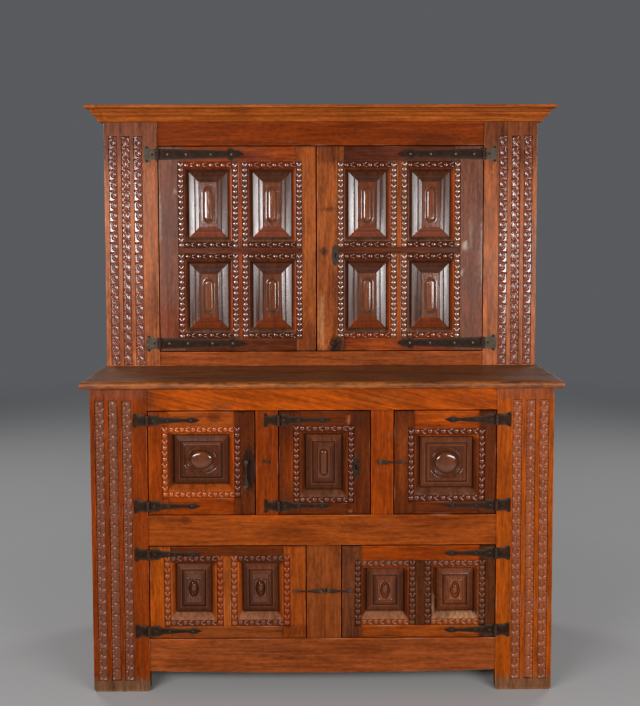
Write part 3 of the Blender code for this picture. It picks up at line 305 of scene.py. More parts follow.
def aged_wood_group():
    """Streaks, figure, pores, black wax and scuffs over a board's own grain; wear darkens it as grime and
    painted shade, or lightens it as rubbing and painted sheen.
    """
    tree, given, result = new_group(
        "aged_wood",
        (("Grain", VECTOR), ("Tone", COLOUR), ("Wear", NUMBER), ("Figure", NUMBER), ("Patina", NUMBER),
         ("Gloss", NUMBER)),
        (*SHADE_SOCKETS, ("Coat", NUMBER)))
    grain = given["Grain"]
    streak = noise(tree, grain, (9.0, 420.0, 420.0), detail=4.0)
    figure = noise(tree, grain, (5.0, 75.0, 75.0), detail=4.0, distortion=0.8)
    mottle = noise(tree, grain, (45.0, 120.0, 120.0), detail=5.0)
    pores = span(tree, noise(tree, grain, (48.0, 1100.0, 1100.0), detail=2.0), 0.58, 0.72)
    wax = span(tree, noise(tree, grain, (4.0, 14.0, 14.0), detail=5.0), 0.48, 0.74)
    scuff = span(tree, noise(tree, grain, (24.0, 80.0, 80.0), detail=5.0), 0.64, 0.80)
    # Low wear darkens the colour, for grime and for painted shade in hollows, grooves and beside panels
    grime_and_shade = span(tree, given["Wear"], 0.05, 0.5, 1.0, 0.0)
    # High wear lightens the colour, for rubbing and for painted sheen
    rub_and_sheen = span(tree, given["Wear"], 0.5, 0.95)

    colour = scaled(tree, given["Tone"], span(tree, streak, 0.30, 0.70, 0.78, 1.20))
    swing = maths(tree, "MULTIPLY", span(tree, figure, 0.32, 0.68, -0.5, 0.42), given["Figure"])
    cloud = maths(tree, "MULTIPLY", span(tree, mottle, 0.3, 0.7, -0.34, 0.34), given["Figure"])
    swing = maths(tree, "ADD", swing, cloud)
    colour = scaled(tree, colour, maths(tree, "ADD", swing, 1.0))
    blackened = mix(tree, 1.0, colour, BLACK_WAX, "MULTIPLY")
    colour = mix(tree, maths(tree, "MULTIPLY", wax, given["Patina"]), colour, blackened)
    colour = scaled(tree, colour, span(tree, pores, 0.0, 1.0, 1.0, 0.62))
    colour = mix(tree, maths(tree, "MULTIPLY", scuff, 0.10), colour, SCUFF_TINT)
    colour = scaled(tree, colour, span(tree, grime_and_shade, 0.0, 1.0, 1.0, 0.20))
    colour = scaled(tree, colour, span(tree, rub_and_sheen, 0.0, 1.0, 1.0, 1.55))
    # The highest wear turns pale: partly worn edges, partly painted highlights on edges and ridges
    colour = mix(tree, span(tree, given["Wear"], 0.98, 1.4, 0.0, 0.75), colour, PALE_WEAR_AND_HIGHLIGHT)
    feed(tree, result["Color"], colour)

    rough = maths(tree, "ADD", given["Gloss"], span(tree, figure, 0.3, 0.7, -0.05, 0.07))
    rough = maths(tree, "ADD", rough, span(tree, scuff, 0.0, 1.0, 0.0, 0.16))
    rough = maths(tree, "ADD", rough, span(tree, grime_and_shade, 0.0, 1.0, 0.0, 0.50))
    feed(tree, result["Roughness"], maths(tree, "SUBTRACT", rough, span(tree, rub_and_sheen, 0.0, 1.0, 0.0, 0.06)))
    feed(tree, result["Coat"], span(tree, given["Wear"], 0.44, 0.62))
    dents = noise(tree, grain, (16.0, 34.0, 34.0), detail=2.0)
    height = maths(tree, "ADD", maths(tree, "MULTIPLY", streak, 0.30), maths(tree, "MULTIPLY", dents, 0.9))
    feed(tree, result["Height"], maths(tree, "SUBTRACT", height, maths(tree, "MULTIPLY", pores, 0.35)))
    return tree


AGED_WOOD = aged_wood_group()
print("group:", AGED_WOOD.name)

# %% [markdown]
# ## The wood finishes
# One group serves ten finishes, from bare boards at the back to the panels that someone still polishes. Plain
# wood has a soft shine of its own. Carving that was waxed and then wiped has a hard, bright skin on its high
# places only, so there a clear coat lies over dull wood, with a mask that follows the wear.

# %% Wood finishes
BUMP_STRENGTH = 0.6
ATTRIBUTE_OUTPUT = {"Grain": "Vector", "Tone": "Color", "Wear": "Fac"}


def shaded(name, group, values, bump, metallic=0.0, specular=0.5, coat=None):
    """A material whose group drives colour, roughness and a small bump; values feed the group's inputs.

    A value that is a word names an attribute of the mesh. A coat, as (roughness, index), lies only where the
    group says that the wood is rubbed bright.
    """
    material = bpy.data.materials.new(name)
    material.use_nodes = True
    tree = material.node_tree
    shader = tree.nodes["Principled BSDF"]
    effect = add_node(tree, "ShaderNodeGroup", node_tree=group)
    for label, value in values.items():
        if isinstance(value, str):
            attribute = add_node(tree, "ShaderNodeAttribute", attribute_name=value)
            value = attribute.outputs[ATTRIBUTE_OUTPUT[label]]
        feed(tree, effect.inputs[label], value)
    relief = add_node(tree, "ShaderNodeBump")
    relief.inputs["Strength"].default_value = BUMP_STRENGTH
    relief.inputs["Distance"].default_value = bump
    feed(tree, relief.inputs["Height"], effect.outputs["Height"])
    feed(tree, shader.inputs["Normal"], relief.outputs["Normal"])
    feed(tree, shader.inputs["Base Color"], effect.outputs["Color"])
    feed(tree, shader.inputs["Roughness"], effect.outputs["Roughness"])
    shader.inputs["Metallic"].default_value = metallic
    shader.inputs["Specular IOR Level"].default_value = specular
    if coat:
        feed(tree, shader.inputs["Coat Weight"], effect.outputs["Coat"])
        shader.inputs["Coat Roughness"].default_value, shader.inputs["Coat IOR"].default_value = coat
    return material, effect


def wood(name, figure, patina, gloss, bump, specular, coat=None):
    """A wood finish that reads each board's own grain, tone and wear."""
    values = {"Grain": "grain", "Tone": "tone", "Wear": "wear",
              "Figure": figure, "Patina": patina, "Gloss": gloss}
    material, _ = shaded(name, AGED_WOOD, values, bump, specular=specular, coat=coat)
    return material


# Each finish: its name, figure, patina, gloss, bump in metres, specular level, and its coat if it has one
WAXED = wood("waxed_wood", 0.72, 0.7, 0.32, 0.0006, 0.16)
MATT = wood("matt_wood", 0.58, 0.6, 0.46, 0.0006, 0.06)
POLISHED = wood("polished_panels", 0.4, 0.4, 0.16, 0.0003, 0.65)
SATIN = wood("satin_panels", 0.4, 0.4, 0.22, 0.0003, 0.13, coat=(0.15, 1.6))
CARVED = wood("carved_wood", 0.3, 0.3, 0.5, 0.0002, 0.15, coat=(0.19, 1.75))
BEADED = wood("beaded_bands", 0.3, 0.3, 0.5, 0.0002, 0.15, coat=(0.17, 2.5))
DULLED = wood("dulled_carving", 0.3, 0.4, 0.5, 0.0003, 0.12, coat=(0.21, 1.66))
FADED = wood("faded_strips", 0.3, 0.4, 0.5, 0.0003, 0.12, coat=(0.26, 1.45))
WORN_TOP = wood("worn_top", 1.1, 0.8, 0.46, 0.0012, 0.46)
BARE = wood("bare_boards", 0.7, 0.45, 0.66, 0.0012, 0.5)
print("wood finishes:", len([WAXED, MATT, POLISHED, SATIN, CARVED, BEADED, DULLED, FADED, WORN_TOP, BARE]))

# %% [markdown]
# ## Forged iron
# Straps, plates, nails and hooks were hammered out and blacked, so their skin is uneven, brown in the hollows
# and grey where fingers and keys have rubbed it; that grey also paints the highlights on knuckles, plate edges
# and hook ends. The pattern has no direction, so it can read object space.

# %% Iron
RUST_BROWN = (0.060, 0.026, 0.013, 1.0)
# The grey of rubbed iron, which is also a painted highlight
GREY_RUB_AND_HIGHLIGHT = (0.17, 0.125, 0.095, 1.0)


def forged_iron_group():
    """Hammer marks and rust-brown hollows; rubbed places, which are also painted highlights, turn grey and
    smoother.
    """
    tree, given, result = new_group(
        "forged_iron", (("Place", VECTOR), ("Tone", COLOUR), ("Wear", NUMBER)), SHADE_SOCKETS)
    hammer = noise(tree, given["Place"], (120.0, 120.0, 120.0), detail=3.0)
    rust = span(tree, noise(tree, given["Place"], (55.0, 55.0, 55.0), detail=5.0), 0.45, 0.68)
    rub_and_sheen = span(tree, given["Wear"], 0.5, 0.95)
    colour = scaled(tree, given["Tone"], span(tree, hammer, 0.3, 0.7, 0.7, 1.25))
    colour = mix(tree, maths(tree, "MULTIPLY", rust, 0.45), colour, RUST_BROWN)
    colour = mix(tree, maths(tree, "MULTIPLY", rub_and_sheen, 0.55), colour, GREY_RUB_AND_HIGHLIGHT)
    feed(tree, result["Color"], colour)
    rough = span(tree, hammer, 0.3, 0.7, 0.40, 0.58)
    feed(tree, result["Roughness"], maths(tree, "SUBTRACT", rough, maths(tree, "MULTIPLY", rub_and_sheen, 0.14)))
    feed(tree, result["Height"], hammer)
    return tree


FORGED_IRON = forged_iron_group()


def in_object_space(name, group, place, values, bump, metallic=0.0, specular=0.5):
    """A material whose group reads object space at the input named by place."""
    material, effect = shaded(name, group, values, bump, metallic, specular)
    where = add_node(material.node_tree, "ShaderNodeTexCoord")
    feed(material.node_tree, effect.inputs[place], where.outputs["Object"])
    return material


IRON_BUMP = 0.0010
IRON = in_object_space("blacked_iron", FORGED_IRON, "Place", {"Tone": "tone", "Wear": "wear"}, IRON_BUMP,
                       metallic=0.05, specular=0.08)
print("iron finish:", IRON.name)

# %% [markdown]
# ## Planed boards
# A board is its section carried along its length. The front corners are eased, as years of wiping ease them,
# and the face swells and dips by a few tenths of a millimetre, which is what makes a planed face look planed.

# %% Boards
EASE = 0.0016
GRID = 0.007
SWELL = 0.0005
# The wear of a plain face, of a place that hands have rubbed, and of a hollow darkened by grime and painted
# shade
PLAIN, RUBBED, SOILED_AND_SHADED = 0.5, 0.9, 0.08
GRIME_SHARE = 0.3
END_SHADE = 0.22
END_REACH = 0.003
# How far each board's grain is moved on, for every step of its seed, so that no two boards look sawn alike
GRAIN_SHIFT = np.array((1.37, 0.113, 0.71))
# The first seed of each kind of board or plate
SEEDS = {"rail": 11, "muntin": 21, "upper_upright": 31, "lower_upright": 35, "waist": 61, "door": 100,
         "upper_end": 700, "lower_end": 740, "plank": 800, "hinge": 900}
SEED_STEP, DOOR_SEED_STEP, RUN_SEED_STEP = 20, 60, 40


def ripple(spots, seed, reach=0.4):
    """A slow swell from 0 to 1: the mean of three sines with seeded lengths and phases."""
    luck = np.random.default_rng(seed)
    lengths = reach * luck.uniform(0.25, 1.0, 3)
    phases = luck.uniform(0, math.tau, 3)
    return 0.5 + np.sin(np.multiply.outer(spots, math.tau / lengths) + phases).mean(axis=-1) / 2


def edge_rub_and_highlight(along, seed):
    """How much an edge is rubbed, and painted pale as a highlight, along its length: a base plus the square of
    a slow ripple.
    """
    return 0.7 + 2.4 * ripple(along, seed + 2, 0.3) ** 2


def carry(along, across, depth, wear, thickness, colour, seed, level):
    """Carries a front line along a board.

    across, depth and wear are arrays (stations, points). Each station becomes a closed ring by adding, behind
    its first and last point, one with the grime of the joint and one at the full thickness.
    """
    along = np.broadcast_to(along[:, None] if along.ndim == 1 else along, across.shape)
    ends = [0, 0, *range(across.shape[1]), -1, -1]
    along, across = along[:, ends], across[:, ends]
    back = np.full((len(across), 1), thickness)
    edge, grime = np.full((len(across), 1), PLAIN), np.full((len(across), 1), SOILED_AND_SHADED)
    first, last = (side + GRIME_SHARE * (back - side) for side in (depth[:, :1], depth[:, -1:]))
    depth = np.hstack([back, first, depth, last, back])
    rings = np.stack([along, depth, across] if level else [across, depth, along], axis=-1)
    grain = np.stack([along, across, depth], axis=-1) + GRAIN_SHIFT * seed
    return loft(rings, grain, colour, np.hstack([edge, grime, wear, grime, edge]))


def front_line(width, eased=(True, True)):
    """A board's front line: distance across, depth and wear, with a quarter round at each eased edge."""
    turn = np.linspace(0, math.pi / 2, 4)
    near, drop = EASE * (1 - np.cos(turn)), EASE * (1 - np.sin(turn))
    inner = np.linspace(2.5 * EASE, width - 2.5 * EASE, max(3, int(width / GRID)))
    # Eased edges are lighter: worn, and painted with a highlight
    rub_and_highlight = np.array([PLAIN, 0.70, 0.85, 0.62]) - PLAIN
    first, last = eased
    return (np.concatenate([near, inner, width - near[::-1]]),
            np.concatenate([drop * first, 0 * inner, drop[::-1] * last]),
            PLAIN + np.concatenate([rub_and_highlight * first, 0 * inner, rub_and_highlight[::-1] * last]))


def board(u0, u1, z0, z1, thickness, colour, seed, level=False, sag=0.0, eased=(True, True)):
    """A plain board, upright or level; a sag lowers the middle of its lower edge by a parabola."""
    low, high, start, end = (z0, z1, u0, u1) if level else (u0, u1, z0, z1)
    line, drop, rub_and_highlight = front_line(high - low, eased)
    along = np.linspace(start, end, max(4, int((end - start) / GRID)))
    middle = 1 - ((2 * along - start - end) / (end - start)) ** 2
    across = low + line - sag * middle[:, None] * (1 - line / (high - low))
    swell = SWELL * ripple(along, seed)[:, None] * ripple(across, seed + 1, 0.2)
    ends = np.exp(-np.minimum(along - start, end - along) / END_REACH)[:, None]
    wear = PLAIN + (rub_and_highlight - PLAIN) * edge_rub_and_highlight(along, seed)[:, None] - END_SHADE * ends
    return carry(along, across, drop + swell, wear, thickness, TONES[colour], seed, level)


def slanted(patch, angle):
    """Turns a board's grain within its face, as in a plank that was sawn across its rings."""
    run, width, depth = patch.grain.T
    cos, sin = math.cos(angle), math.sin(angle)
    return patch._replace(grain=np.stack([run * cos - width * sin, run * sin + width * cos, depth], axis=-1))


Stain = namedtuple("Stain", "spot half colour share")


def stain(patch, spot, half, colour, share):
    """Blends a tone into the points inside a ragged, soft-edged, slightly square blot at (x, z)."""
    x, _, z = patch.points.T
    far = (np.abs((x - spot[0]) / half[0]) ** 3 + np.abs((z - spot[1]) / half[1]) ** 3) ** (1 / 3)
    ragged = 0.22 * np.sin(310 * x + 70 * z) * np.sin(230 * z - 90 * x)
    weight = share * np.clip((1 - far + ragged * (far < 1.2)) / 0.45, 0, 1)[:, None]
    return patch._replace(tone=patch.tone + (TONES[colour] - patch.tone) * weight)


print("boards have a point every", round(1000 * GRID), "mm")

# %% [markdown]
# ## The front rails and muntins
# The rails hold the uprights apart and the muntins stand between the doors. Their lengths come from the
# doors' own boxes and one gap, so they meet the uprights where the tenons go in. The bottom rail has sagged
# with age. Blots of another tone stand for hands, old wax and damp, and are blended into the points.

# %% Rails and muntins
DOOR_GAP = 0.003
SEAM = 0.0003
RAIL_SAG = 0.008
FRONT_THICKNESS = 0.030
NODE = {name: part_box(name) for name in frame["nodes"]}


def opening(door):
    """A door's opening, as (x0, x1, z0, z1): its leaf and the gap round it."""
    low, high = NODE[door]
    return low.x - DOOR_GAP, high.x + DOOR_GAP, low.z - DOOR_GAP, high.z + DOOR_GAP


LOWER_FACE = NODE["lower_top_rail"][0].y
UPPER_FACE = NODE["upper_top_rail"][0].y
BACK_FACE = NODE["lower_back"][1].y


def face_of(door):
    """The plane of a door's front, which is its case's own front."""
    return UPPER_FACE if door.startswith("upper") else LOWER_FACE


LOWER_INNER = opening("lower_right_door")[1]
UPPER_INNER = opening("upper_right_door")[1]
LOWER_HALF = NODE["lower_right_side"][1].x
UPPER_HALF = NODE["upper_right_side"][1].x

RAIL_SLANT = {"lower_top_rail": 0.24}
RAIL_STAINS = {
    "lower_top_rail": (Stain((-0.337, 0.974), (0.050, 0.018), "cocoa", 0.45),
                       Stain((-0.585, 0.985), (0.035, 0.060), "cocoa", 0.6),
                       Stain((0.20, 1.000), (0.10, 0.020), "copper", 0.4)),
    "lower_middle_rail": (Stain((-0.458, 0.590), (0.022, 0.014), "umber", 0.7),
                          Stain((0.105, 0.572), (0.060, 0.028), "umber", 0.45),
                          Stain((-0.20, 0.610), (0.16, 0.020), "honey", 0.5)),
    "lower_bottom_rail": (Stain((-0.25, 0.150), (0.20, 0.030), "cocoa", 0.4),),
    "upper_top_rail": (Stain((-0.10, 1.905), (0.30, 0.020), "rust", 0.6),
                       Stain((0.42, 1.880), (0.12, 0.030), "umber", 0.5)),
}
for seed, (name, inner, face, colour, sag) in enumerate((
        ("lower_bottom_rail", LOWER_INNER, LOWER_FACE, "russet", RAIL_SAG),
        ("lower_middle_rail", LOWER_INNER, LOWER_FACE, "amber", 0.0),
        ("lower_top_rail", LOWER_INNER, LOWER_FACE, "honey", 0.0),
        ("upper_bottom_rail", UPPER_INNER, UPPER_FACE, "russet", 0.0),
        ("upper_top_rail", UPPER_INNER, UPPER_FACE, "chestnut", 0.0))):
    low, high = NODE[name]
    rail = board(-inner + SEAM, inner - SEAM, low.z + sag, high.z, FRONT_THICKNESS, colour,
                 SEEDS["rail"] + seed, level=True, sag=sag)
    rail = on_front(slanted(rail, RAIL_SLANT.get(name, 0.0)), face)
    for blot in RAIL_STAINS.get(name, ()):
        rail = stain(rail, *blot)
    make_piece(f"{name}_face", [rail], "case", MATT, [name])

MUNTINS = {
    "left_muntin": ("lower_left_door", "lower_centre_door", "chestnut"),
    "right_muntin": ("lower_centre_door", "lower_right_door", "rust"),
    "bottom_muntin": ("bottom_left_door", "bottom_right_door", "sienna"),
}
for seed, (name, (before, after, colour)) in enumerate(MUNTINS.items()):
    x0, x1 = opening(before)[1], opening(after)[0]
    z0, z1 = opening(before)[2:]
    upright = board(x0, x1, z0 + SEAM, z1 - SEAM, FRONT_THICKNESS, colour, SEEDS["muntin"] + seed)
    make_piece(f"{name}_face", [on_front(upright, LOWER_FACE)], "case", MATT, [name])

# %% [markdown]
# ## Carving
# The uprights carry three sunk runs of gouge work, and a band of beads and petals frames every panel. A run
# starts as a gently arched strip; a gouge then scoops a bowl out of each repeat, and a small knob stands in
# it. Sculpting would be slow and never repeat, so a run is one formula for height over a fine grid. A seeded
# slip moves each motif a little, because a carver steps off the pitch by eye.

# %% Carved runs
CARVE_STEP = 0.0013
RIM = 0.0010
CARVING_GRIME_AND_SHADE = 0.34


def repeat(along, length, pitch, seed):
    """Distance from the middle of each repeat, after a seeded slip, and the pitch that fits the length."""
    count = max(1, round(length / pitch))
    step = length / count
    index = np.clip(along // step, 0, count - 1).astype(int)
    slip = np.random.default_rng(seed).normal(0, 0.025 * step, count)
    return along - (index + 0.5) * step - slip[index], step


def bead(across, along, at, radius):
    """Half a ball about a middle."""
    return np.sqrt(np.clip(1 - ((across - at[0]) ** 2 + (along - at[1]) ** 2) / radius ** 2, 0, None))


def knob(across, along, at, wide, tall):
    """A knob like a ribbed leaf: two even slopes across, under half an ellipse along."""
    slopes = 1.12 - np.sqrt(((across - at[0]) / wide) ** 2 + 0.12 ** 2)
    return np.clip(slopes, 0, None) * np.sqrt(np.clip(1 - ((along - at[1]) / tall) ** 2, 0, None))


def scoops(pitch, lean):
    """An arched strip with a bowl gouged out of each repeat, so wide that the bowls nearly meet.

    A bowl takes away a paraboloid a little off the middle. What it leaves are flags that catch the light,
    each cut by a nick, and a knob stands in each bowl.
    """
    def height(across, along, width, length, seed):
        local, step = repeat(along, length, pitch, seed)
        arch = 1 - 0.43 * (2 * across / width) ** 2
        bowl = np.clip(1 - ((across / width - lean) / 0.41) ** 2 - (local / (0.45 * step)) ** 2, 0, None)
        nick = 0.45 * np.exp(-((local / step - 0.30) / 0.05) ** 2) * (across * lean < 0)
        raised = 0.80 * knob(across, local, (1.2 * lean * width, 0), 0.34 * width, 0.40 * step)
        return np.maximum(arch - bowl ** 0.75 - nick, raised)
    return height


def petal(across, along, at, lean, long, wide):
    """A petal's height: a flat-topped half egg about a middle, its long axis leaning from the run."""
    p = ((across - at[0]) * math.sin(lean) + (along - at[1]) * math.cos(lean)) / long
    q = ((across - at[0]) * math.cos(lean) - (along - at[1]) * math.sin(lean)) / wide
    return np.clip(1 - p ** 2 - q ** 2, 0, None) ** 0.36


def palmettes(pitch, lean):
    """A fan in each repeat: a knob under an arch, two beads at its foot, and a nicked ridge at one edge."""
    def height(across, along, width, length, seed):
        local, step = repeat(along, length, pitch, seed)
        arch = np.exp(-((np.hypot(across, local) - 0.45 * width) / (0.10 * width)) ** 2)
        raised = knob(across, local, (0.3 * lean * width, -0.04 * step), 0.335 * width, 0.46 * step)
        parts = [0.5 * arch * (local > -0.1 * width), raised]
        parts += [0.5 * bead(across, local, (s * 0.30 * width, -0.36 * step), 0.15 * width) for s in (-1, 1)]
        ridge = np.clip(1 - ((across / width + 4.2 * lean) / 0.15) ** 2, 0, None) ** 0.4
        parts.append(0.9 * ridge * np.clip(1.6 * np.abs(np.cos(math.tau * local / step)), 0, 1))
        return np.maximum.reduce(parts) * 0.75 + 0.25
    return height


def beads_and_petals(pitch):
    """Narrow bands: a bead right across, then two petals in a V, over and over."""
    def height(across, along, width, length, seed):
        local, step = repeat(along, length, pitch, seed)
        parts = [petal(across, local, (s * 0.23 * width, 0.25 * step), 0.45 * s, 0.25 * step, 0.21 * width)
                 for s in (-1, 1)]
        parts.append(petal(across, local, (0, -0.25 * step), 0, 0.20 * step, 0.44 * width))
        edge = 0.5 * np.clip((np.abs(across) / (width / 2) - 0.88) / 0.05, 0, 1)
        return np.maximum(np.maximum.reduce(parts), edge)
    return height


def carved_run(u0, u1, z0, z1, floor, rise, thickness, motif, colour, seed, level=False,
               low_wear=CARVING_GRIME_AND_SHADE, high_wear=RUBBED, rim=RIM):
    """A run of carving: a motif's height, from 0 to 1, raised from its sunk floor over a fine grid.

    Every motif is asked in the same way, whether or not it needs the run's width, length and seed.
    """
    low, high, start, end = (z0, z1, u0, u1) if level else (u0, u1, z0, z1)
    width, length = high - low, end - start
    across = np.linspace(-width / 2, width / 2, int(width / CARVE_STEP) + 1)[None, :]
    along = np.linspace(0, length, int(length / CARVE_STEP) + 1)[:, None]
    height = np.clip(motif(across, along, width, length, seed), 0, 1)
    if rim:
        ends = np.minimum(along, length - along)
        height = height * np.clip((width / 2 - np.abs(across)) / rim, 0, 1) * np.clip(ends / rim, 0, 1)
    across = np.broadcast_to(across + (low + high) / 2, height.shape)
    depth = floor - rise * height
    # Hollows take the low wear, darkened by grime and painted shade; high places take the high wear, lightened
    # by rubbing and painted sheen
    wear = low_wear + (high_wear - low_wear) * height
    return carry(start + along[:, 0], across, depth, wear, thickness, TONES[colour], seed, level)


print("carving has a point every", round(1000 * CARVE_STEP, 1), "mm")

# %% [markdown]
# ## The uprights
# Each lower upright is one plank from the waist to the floor, and each upper one stands on the waist board.
# The three channels are part of a plank's section, switched off above and below the carving, so no cutting
# is needed. The foot is rounded where it has worn on the floor.

# %% Uprights
CHANNEL_WIDTH, CHANNEL_DEPTH = 0.032, 0.0065
CHANNEL_MARGIN, CHANNEL_PITCH = 0.016, 0.045
CHANNEL_WALL, CHANNEL_LIP = 0.0006, 0.0015
FOOT_ROUND = 0.010
RUN_PITCH, RUN_LEAN = 0.0385, 0.08
# The channels' lips are lifted pale as painted highlights; the worn foot turns pale
LIP_HIGHLIGHT, FOOT_RUB = 0.35, 0.3
RUN_BACK = CHANNEL_DEPTH + 0.001


def grooved_upright(u0, u1, z0, z1, colour, seed, channels, channel_z, foot):
    """A plank whose front line drops into its channels between two heights; a round foot narrows its end."""
    line, drop, rub_and_highlight = front_line(u1 - u0)
    walls = np.array([(a - CHANNEL_LIP, a, a + CHANNEL_WALL, b - CHANNEL_WALL, b, b + CHANNEL_LIP)
                      for a, b in channels]) - u0
    spots = np.union1d(line, walls.ravel())
    sunk = ((spots >= walls[:, 2:3] - 1e-6) & (spots <= walls[:, 3:4] + 1e-6)).any(axis=0)
    lips = np.isin(spots, walls[:, [1, 4]])
    ends = (channel_z[0] - CHANNEL_WALL, channel_z[0], channel_z[1], channel_z[1] + CHANNEL_WALL)
    toe = FOOT_ROUND * np.array((0.05, 0.15, 0.35, 0.65, 1.0))
    along = np.unique(np.concatenate([np.linspace(z0, z1, int((z1 - z0) / GRID)), ends, z0 + toe]))
    cut = sunk & ((along >= channel_z[0]) & (along <= channel_z[1]))[:, None]
    lift = np.clip(1 - (along - z0) / FOOT_ROUND, 0, 1) if foot else 0 * along
    inset = FOOT_ROUND * (1 - np.sqrt(1 - lift ** 2))[:, None]
    across = u0 + inset + spots * (1 - 2 * inset / (u1 - u0))
    swell = SWELL * ripple(along, seed)[:, None] * ripple(across, seed + 1, 0.2)
    within = ((along > channel_z[0]) & (along < channel_z[1]))[:, None]
    edges = np.interp(spots, line, rub_and_highlight) - PLAIN + LIP_HIGHLIGHT * (lips & within)
    wear = np.where(cut, SOILED_AND_SHADED, PLAIN + edges * edge_rub_and_highlight(along, seed)[:, None] + FOOT_RUB * lift[:, None])
    depth = np.where(cut, CHANNEL_DEPTH, np.interp(spots, line, drop)) + swell
    return carry(along, across, depth, wear, FRONT_THICKNESS, TONES[colour], seed, False)


def carved_upright(name, side, half, inner, face, z0, z1, channel_z, tones, seed, foot=False):
    """A plank with three channels of carving; scoops lie either side of the palmettes."""
    colour, run_tone = tones
    motifs = (SCOOPS[side], PALMETTES[side], SCOOPS[side])
    u0, u1 = sorted((side * half, side * inner))
    outers = [half - CHANNEL_MARGIN - run * CHANNEL_PITCH for run in range(len(motifs))]
    channels = [sorted((side * outer, side * (outer - CHANNEL_WIDTH))) for outer in outers]
    patches = [grooved_upright(u0, u1, z0, z1, colour, seed, sorted(channels), channel_z, foot)]
    for run, ((a, b), motif) in enumerate(zip(channels, motifs)):
        box = a + CHANNEL_WALL, b - CHANNEL_WALL, channel_z[0] + SEAM, channel_z[1] - SEAM
        patches.append(carved_run(*box, CHANNEL_DEPTH - SEAM, CHANNEL_DEPTH - 2 * SEAM, RUN_BACK, motif,
                                  run_tone, seed + RUN_SEED_STEP + run))
    patches = [on_front(patch, face) for patch in patches]
    middle = (u0 + u1) / 2
    # The top of an upper upright is darkened, so that it reads lighter lower down: painted shade above a
    # painted sheen
    blots = [Stain((middle, z1), (0.4, 0.19), "umber", 0.7)]
    if foot:
        blots = [Stain((middle, z1), (0.4, 0.045), "plum", 0.55),
                 Stain((middle, z0), (0.4, 0.055), "straw", 0.75)]
    for blot in blots:
        patches = [stain(patch, *blot) for patch in patches]
    make_piece(f"{name}_plank", patches[:1], "case", MATT if foot else WAXED, [name])
    make_piece(f"{name}_runs", patches[1:], "case", FADED if foot else CARVED)


CHANNEL_Z = {"upper": (1.064, 1.894), "lower": (0.038, 0.993)}
SCOOPS = {side: scoops(RUN_PITCH, -RUN_LEAN * side) for side in (-1, 1)}
PALMETTES = {side: palmettes(RUN_PITCH, -RUN_LEAN * side) for side in (-1, 1)}
# The tones of a plank and of its runs
UPPER_TONES = ("sandal", "madder")
LOWER_TONES = {-1: ("chestnut", "cocoa"), 1: ("ginger", "sienna")}
for seed, (label, side) in enumerate((("left", -1), ("right", 1))):
    low, high = NODE[f"upper_{label}_side"]
    carved_upright(f"upper_{label}_stile", side, UPPER_HALF, UPPER_INNER, UPPER_FACE, low.z, high.z,
                   CHANNEL_Z["upper"], UPPER_TONES, SEEDS["upper_upright"] + seed)
    low, high = NODE[f"lower_{label}_side"]
    carved_upright(f"lower_{label}_stile", side, LOWER_HALF, LOWER_INNER, LOWER_FACE, 0.0, high.z,
                   CHANNEL_Z["lower"], LOWER_TONES[side], SEEDS["lower_upright"] + seed, foot=True)

# %% [markdown]
# ## The doors
# A door is two stiles, rails between them, and one or more panels. A carved band runs round each panel, the
# frame is chamfered down to it, and the panel slopes up again to a flat field. Faces pulled out by hand would
# soon lose their mitres. Rectangles nested one inside another, each with its own depth, keep them true.

# %% Nested rectangles
SIDE_POINTS = 14


def shrink(box, side, bottom=None, top=None):
    """A box drawn in at its sides, bottom and top; what isn't given is as the one before it."""
    bottom = side if bottom is None else bottom
    top = bottom if top is None else top
    return box[0] + side, box[1] - side, box[2] + bottom, box[3] - top


def between(outer, inner, share):
    """A box part of the way from one box to another."""
    return tuple(a + (b - a) * share for a, b in zip(outer, inner))


def nested(steps, colours, seed, loop=False, upright=True, smooth=False):
    """Rings on nested rectangles, each step a (box, depth, wear); a ring runs round its four sides evenly.

    colours are the tones of the bottom, right, top and left sides, the same for all rings or a row for each.
    A step's wear may also be given for these four sides.
    """
    share = np.arange(SIDE_POINTS) / SIDE_POINTS
    boxes = np.array([box for box, _, _ in steps])
    corners = np.stack([boxes[:, [0, 1, 1, 0]], boxes[:, [2, 2, 3, 3]]], axis=-1)
    legs = np.roll(corners, -1, axis=1) - corners
    ring = (corners[:, :, None] + legs[:, :, None] * share[:, None]).reshape(len(steps), -1, 2)
    depth = np.broadcast_to(np.array([step[1] for step in steps])[:, None], ring.shape[:2])
    wear = np.repeat([np.broadcast_to(step[2], 4) for step in steps], SIDE_POINTS, axis=1)
    rings = np.stack([ring[..., 0], depth, ring[..., 1]], axis=-1)
    run, width = (ring[..., 1], ring[..., 0]) if upright else (ring[..., 0], ring[..., 1])
    grain = np.stack([run, width, depth], axis=-1) + GRAIN_SHIFT * seed
    rows = colours if isinstance(colours[0], (list, tuple)) else [colours]
    shades = np.array([[TONES[colour] for colour in row] for row in rows])
    return loft(rings, grain, np.repeat(shades, SIDE_POINTS, axis=1), wear, loop)._replace(smooth=smooth)


print("points on each ring:", 4 * SIDE_POINTS)

# %% [markdown]
# ## The fields of the panels
# The flat middle of a panel was left standing and then carved: a round-ended bar on the tall doors and the
# narrow one, a big oval on the square doors, a small oval between four corners on the bottom doors. Each is
# a height worked out from one distance, so its rings and hollows stay even all the way round.

# %% Fields


def bar_field(half, end, level):
    """A round-ended bar in a round-ended niche; both follow the distance from the bar's middle line."""
    def height(across, along, width, length, seed):
        rise = np.abs(along - length / 2)
        straight = length / 2 - end - half
        distance = np.hypot(across, np.clip(rise - straight, 0, None))
        bar = np.sqrt(np.clip(1 - (distance / half) ** 4, 0, None))
        wall = np.clip((distance - half - 0.0030) / 0.0008, 0, 1)
        lip = 0.10 * np.exp(-((distance - half - 0.0052) / 0.0010) ** 2)
        return np.maximum(bar, (level + lip) * wall)
    return height


